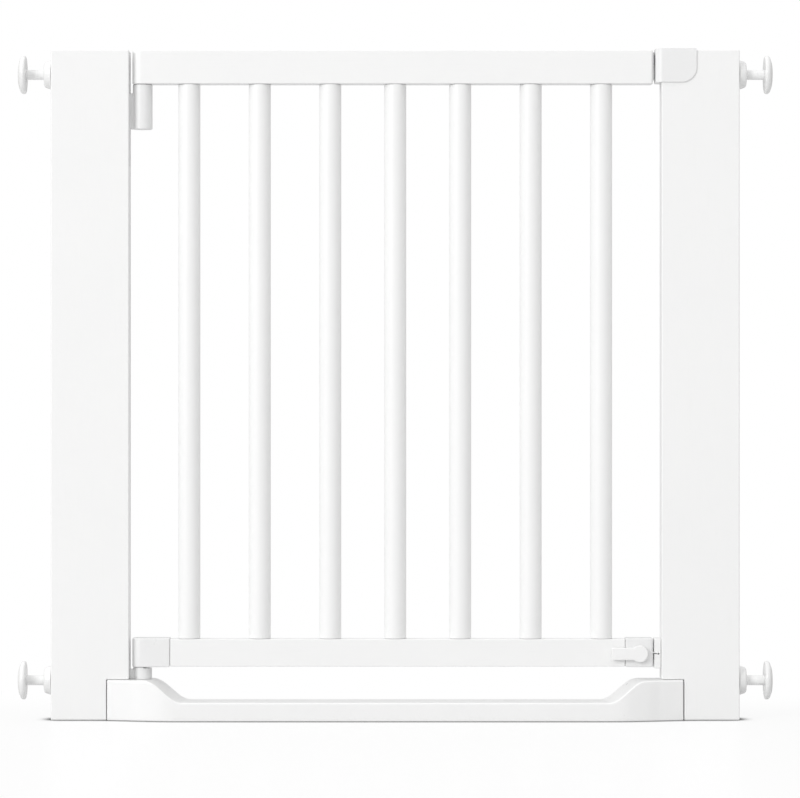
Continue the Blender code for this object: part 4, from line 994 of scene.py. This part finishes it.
def makePads():
    for level, sideName in corners:
        label = f"{level}_{sideName}"
        side = -1 if sideName == "left" else 1
        height = middle("guide_sleeve_" + label).z
        plateLow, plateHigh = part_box("pad_plate_" + label)
        nutLow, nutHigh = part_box("hand_nut_" + label)
        rubberLow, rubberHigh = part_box("pad_rubber_" + label)
        rodLow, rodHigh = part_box("threaded_rod_" + label)
        inner = min(abs(plateLow.x), abs(plateHigh.x))
        seat = min(abs(nutLow.x), abs(nutHigh.x))
        bed, face = sorted((abs(rubberLow.x), abs(rubberHigh.x)))
        start, end = sorted((abs(rodLow.x), abs(rodHigh.x)))
        makePadPlate("pad_plate_" + label, side, (side * inner, 0, height))
        makePadRubber("pad_rubber_" + label, side, (side * bed, 0, height), face - bed)
        makeNut("hand_nut_" + label, side, (side * seat, 0, height))
        makeThreadedRod("threaded_rod_" + label, side, start, end, height)
    print("pads made")


makePads()


# CAD nodes that keep their shape, out of sight in their bores

keptNodes = {"latch_spring": zincPlate, "top_hinge_pin": zincPlate, "lower_pivot_pin": zincPlate,
             "top_hinge_bush": bushNylon, "lower_pivot_bush": bushNylon}
keptNodes.update({f"guide_sleeve_{level}_{side}": bushNylon for level, side in corners})
for node, finish in keptNodes.items():
    for slot in nodes[node].material_slots:
        slot.material = finish
print("kept nodes finished:", len(keptNodes))


# Stage

stagePlan = dict(reach=30.0, paper=(0.92, 0.92, 0.92), paperDark=(0.91, 0.91, 0.91), bounce=(0.68, 0.68, 0.68),
                 roughness=0.30, glow=1.0, ownLight=0.80, shadeReach=0.019, shadeDepth=0.02, clearFrom=0.04,
                 clearTo=0.40, standOff=0.002, backdrop=1.0, skyLow=0.355, skyHigh=1.14, skyFrom=-0.30, skyTo=0.90,
                 leftward=0.10)


# sheet paper that lifts into a bright sweep behind the gate, with a painted contact shadow in its glow next to the
# gate;
# it is clear when seen from below, and clear to rays shorter than standOff, so that the undersides which stand on it
# aren't black
def makeFloor():
    reach = stagePlan["reach"]
    sheet = bmesh.new()
    sheet.faces.new([sheet.verts.new((x * reach, y * reach, 0)) for x, y in ((-1, -1), (1, -1), (1, 1), (-1, 1))])
    mesh = bpy.data.meshes.new("studioFloor")
    sheet.to_mesh(mesh)
    sheet.free()
    floor = placed("studioFloor", mesh)
    finish = bpy.data.materials.new("studioPaper")
    finish.use_nodes = True
    tree = finish.node_tree
    paper = tree.nodes["Principled BSDF"]
    feed(tree, paper, "Roughness", stagePlan["roughness"])
    place = addNode(tree, "TexCoord").outputs["Object"]
    fibre = useGroup(tree, toneDrift, place, Scale=3.0, Light=stagePlan["paper"], Dark=stagePlan["paperDark"])
    path = addNode(tree, "LightPath")
    seen = path.outputs["Is Camera Ray"]
    feed(tree, paper, "Base Color", addMix(tree, seen, stagePlan["bounce"], fibre["Colour"]))
    # painted contact shadow: ambient occlusion darkens the floor's camera-seen glow near the gate, down to
    # shadeDepth
    paintedContactShadow = addNode(tree, "AmbientOcclusion", Distance=stagePlan["shadeReach"]).outputs["AO"]
    strength = addRange(tree, paintedContactShadow, 0.5, 1.0, stagePlan["shadeDepth"], stagePlan["glow"])
    glow = addNode(tree, "Emission", Strength=strength).outputs[0]
    depth = addNode(tree, "SeparateXYZ", Vector=place).outputs["Y"]
    share = addRange(tree, depth, stagePlan["clearFrom"], stagePlan["clearTo"], stagePlan["ownLight"], 1.0)
    lit = addBlend(tree, addMath(tree, "MULTIPLY", share, seen), paper.outputs[0], glow)
    close = addMath(tree, "LESS_THAN", path.outputs["Ray Length"], stagePlan["standOff"])
    below = addNode(tree, "NewGeometry").outputs["Backfacing"]
    clear = addNode(tree, "BsdfTransparent").outputs[0]
    sheetShader = addBlend(tree, addMath(tree, "MAXIMUM", below, close), lit, clear)
    feed(tree, tree.nodes["Material Output"], "Surface", sheetShader)
    floor.data.materials.append(finish)
    return floor


# a white tent, brighter overhead than low down and to the left than to the right
def makeWorld():
    world = bpy.data.worlds.new("studioSky")
    bpy.context.scene.world = world
    world.use_nodes = True
    tree = world.node_tree
    ambient = tree.nodes["Background"]
    feed(tree, ambient, "Color", (1, 1, 1))
    aim = addNode(tree, "SeparateXYZ", Vector=addNode(tree, "TexCoord").outputs["Generated"])
    height = addRange(tree, aim.outputs["Z"], stagePlan["skyFrom"], stagePlan["skyTo"],
                      stagePlan["skyLow"], stagePlan["skyHigh"])
    turn = addMath(tree, "MULTIPLY_ADD", aim.outputs["X"], -stagePlan["leftward"], 1.0)
    feed(tree, ambient, "Strength", addMath(tree, "MULTIPLY", height, turn))
    backdrop = addNode(tree, "Background", Strength=stagePlan["backdrop"], Color=(1, 1, 1))
    seen = addNode(tree, "LightPath").outputs["Is Camera Ray"]
    tent = addBlend(tree, seen, ambient.outputs[0], backdrop.outputs[0])
    feed(tree, tree.nodes["World Output"], "Surface", tent)


lamps = {
    "keySoftbox": dict(place=(-6.2, -6.8, 3.5), aim=(0, 0, 0.35), size=(3.2, 3.2), power=300.0),
    "frontFill": dict(place=(1.6, -6.0, 1.0), aim=(0, 0, 0.35), size=(3.0, 2.4), power=7.0),
}


def makeLamps():
    for name, plan in lamps.items():
        light = bpy.data.lights.new(name, "AREA")
        light.shape = "RECTANGLE"
        light.size, light.size_y = plan["size"]
        light.energy = plan["power"]
        lamp = placed(name, light)
        lamp.location = plan["place"]
        aim = Vector(plan["aim"]) - Vector(plan["place"])
        lamp.rotation_euler = aim.to_track_quat("-Z", "Y").to_euler()


cameraPlan = dict(place=(0.0052, -4.5, 0.3498), lens=185.28, sensor=36.0)


def makeCamera():
    camera = bpy.data.cameras.new("frontCamera")
    camera.lens = cameraPlan["lens"]
    camera.sensor_width = cameraPlan["sensor"]
    camera.clip_end = 100.0
    holder = placed("frontCamera", camera)
    holder.location = cameraPlan["place"]
    holder.rotation_euler = (math.pi / 2, 0, 0)
    bpy.context.scene.camera = holder


makeFloor()
makeWorld()
makeLamps()
makeCamera()
bpy.context.scene.view_settings.view_transform = "Standard"
print("stage ready")

bpy.context.view_layer.update()
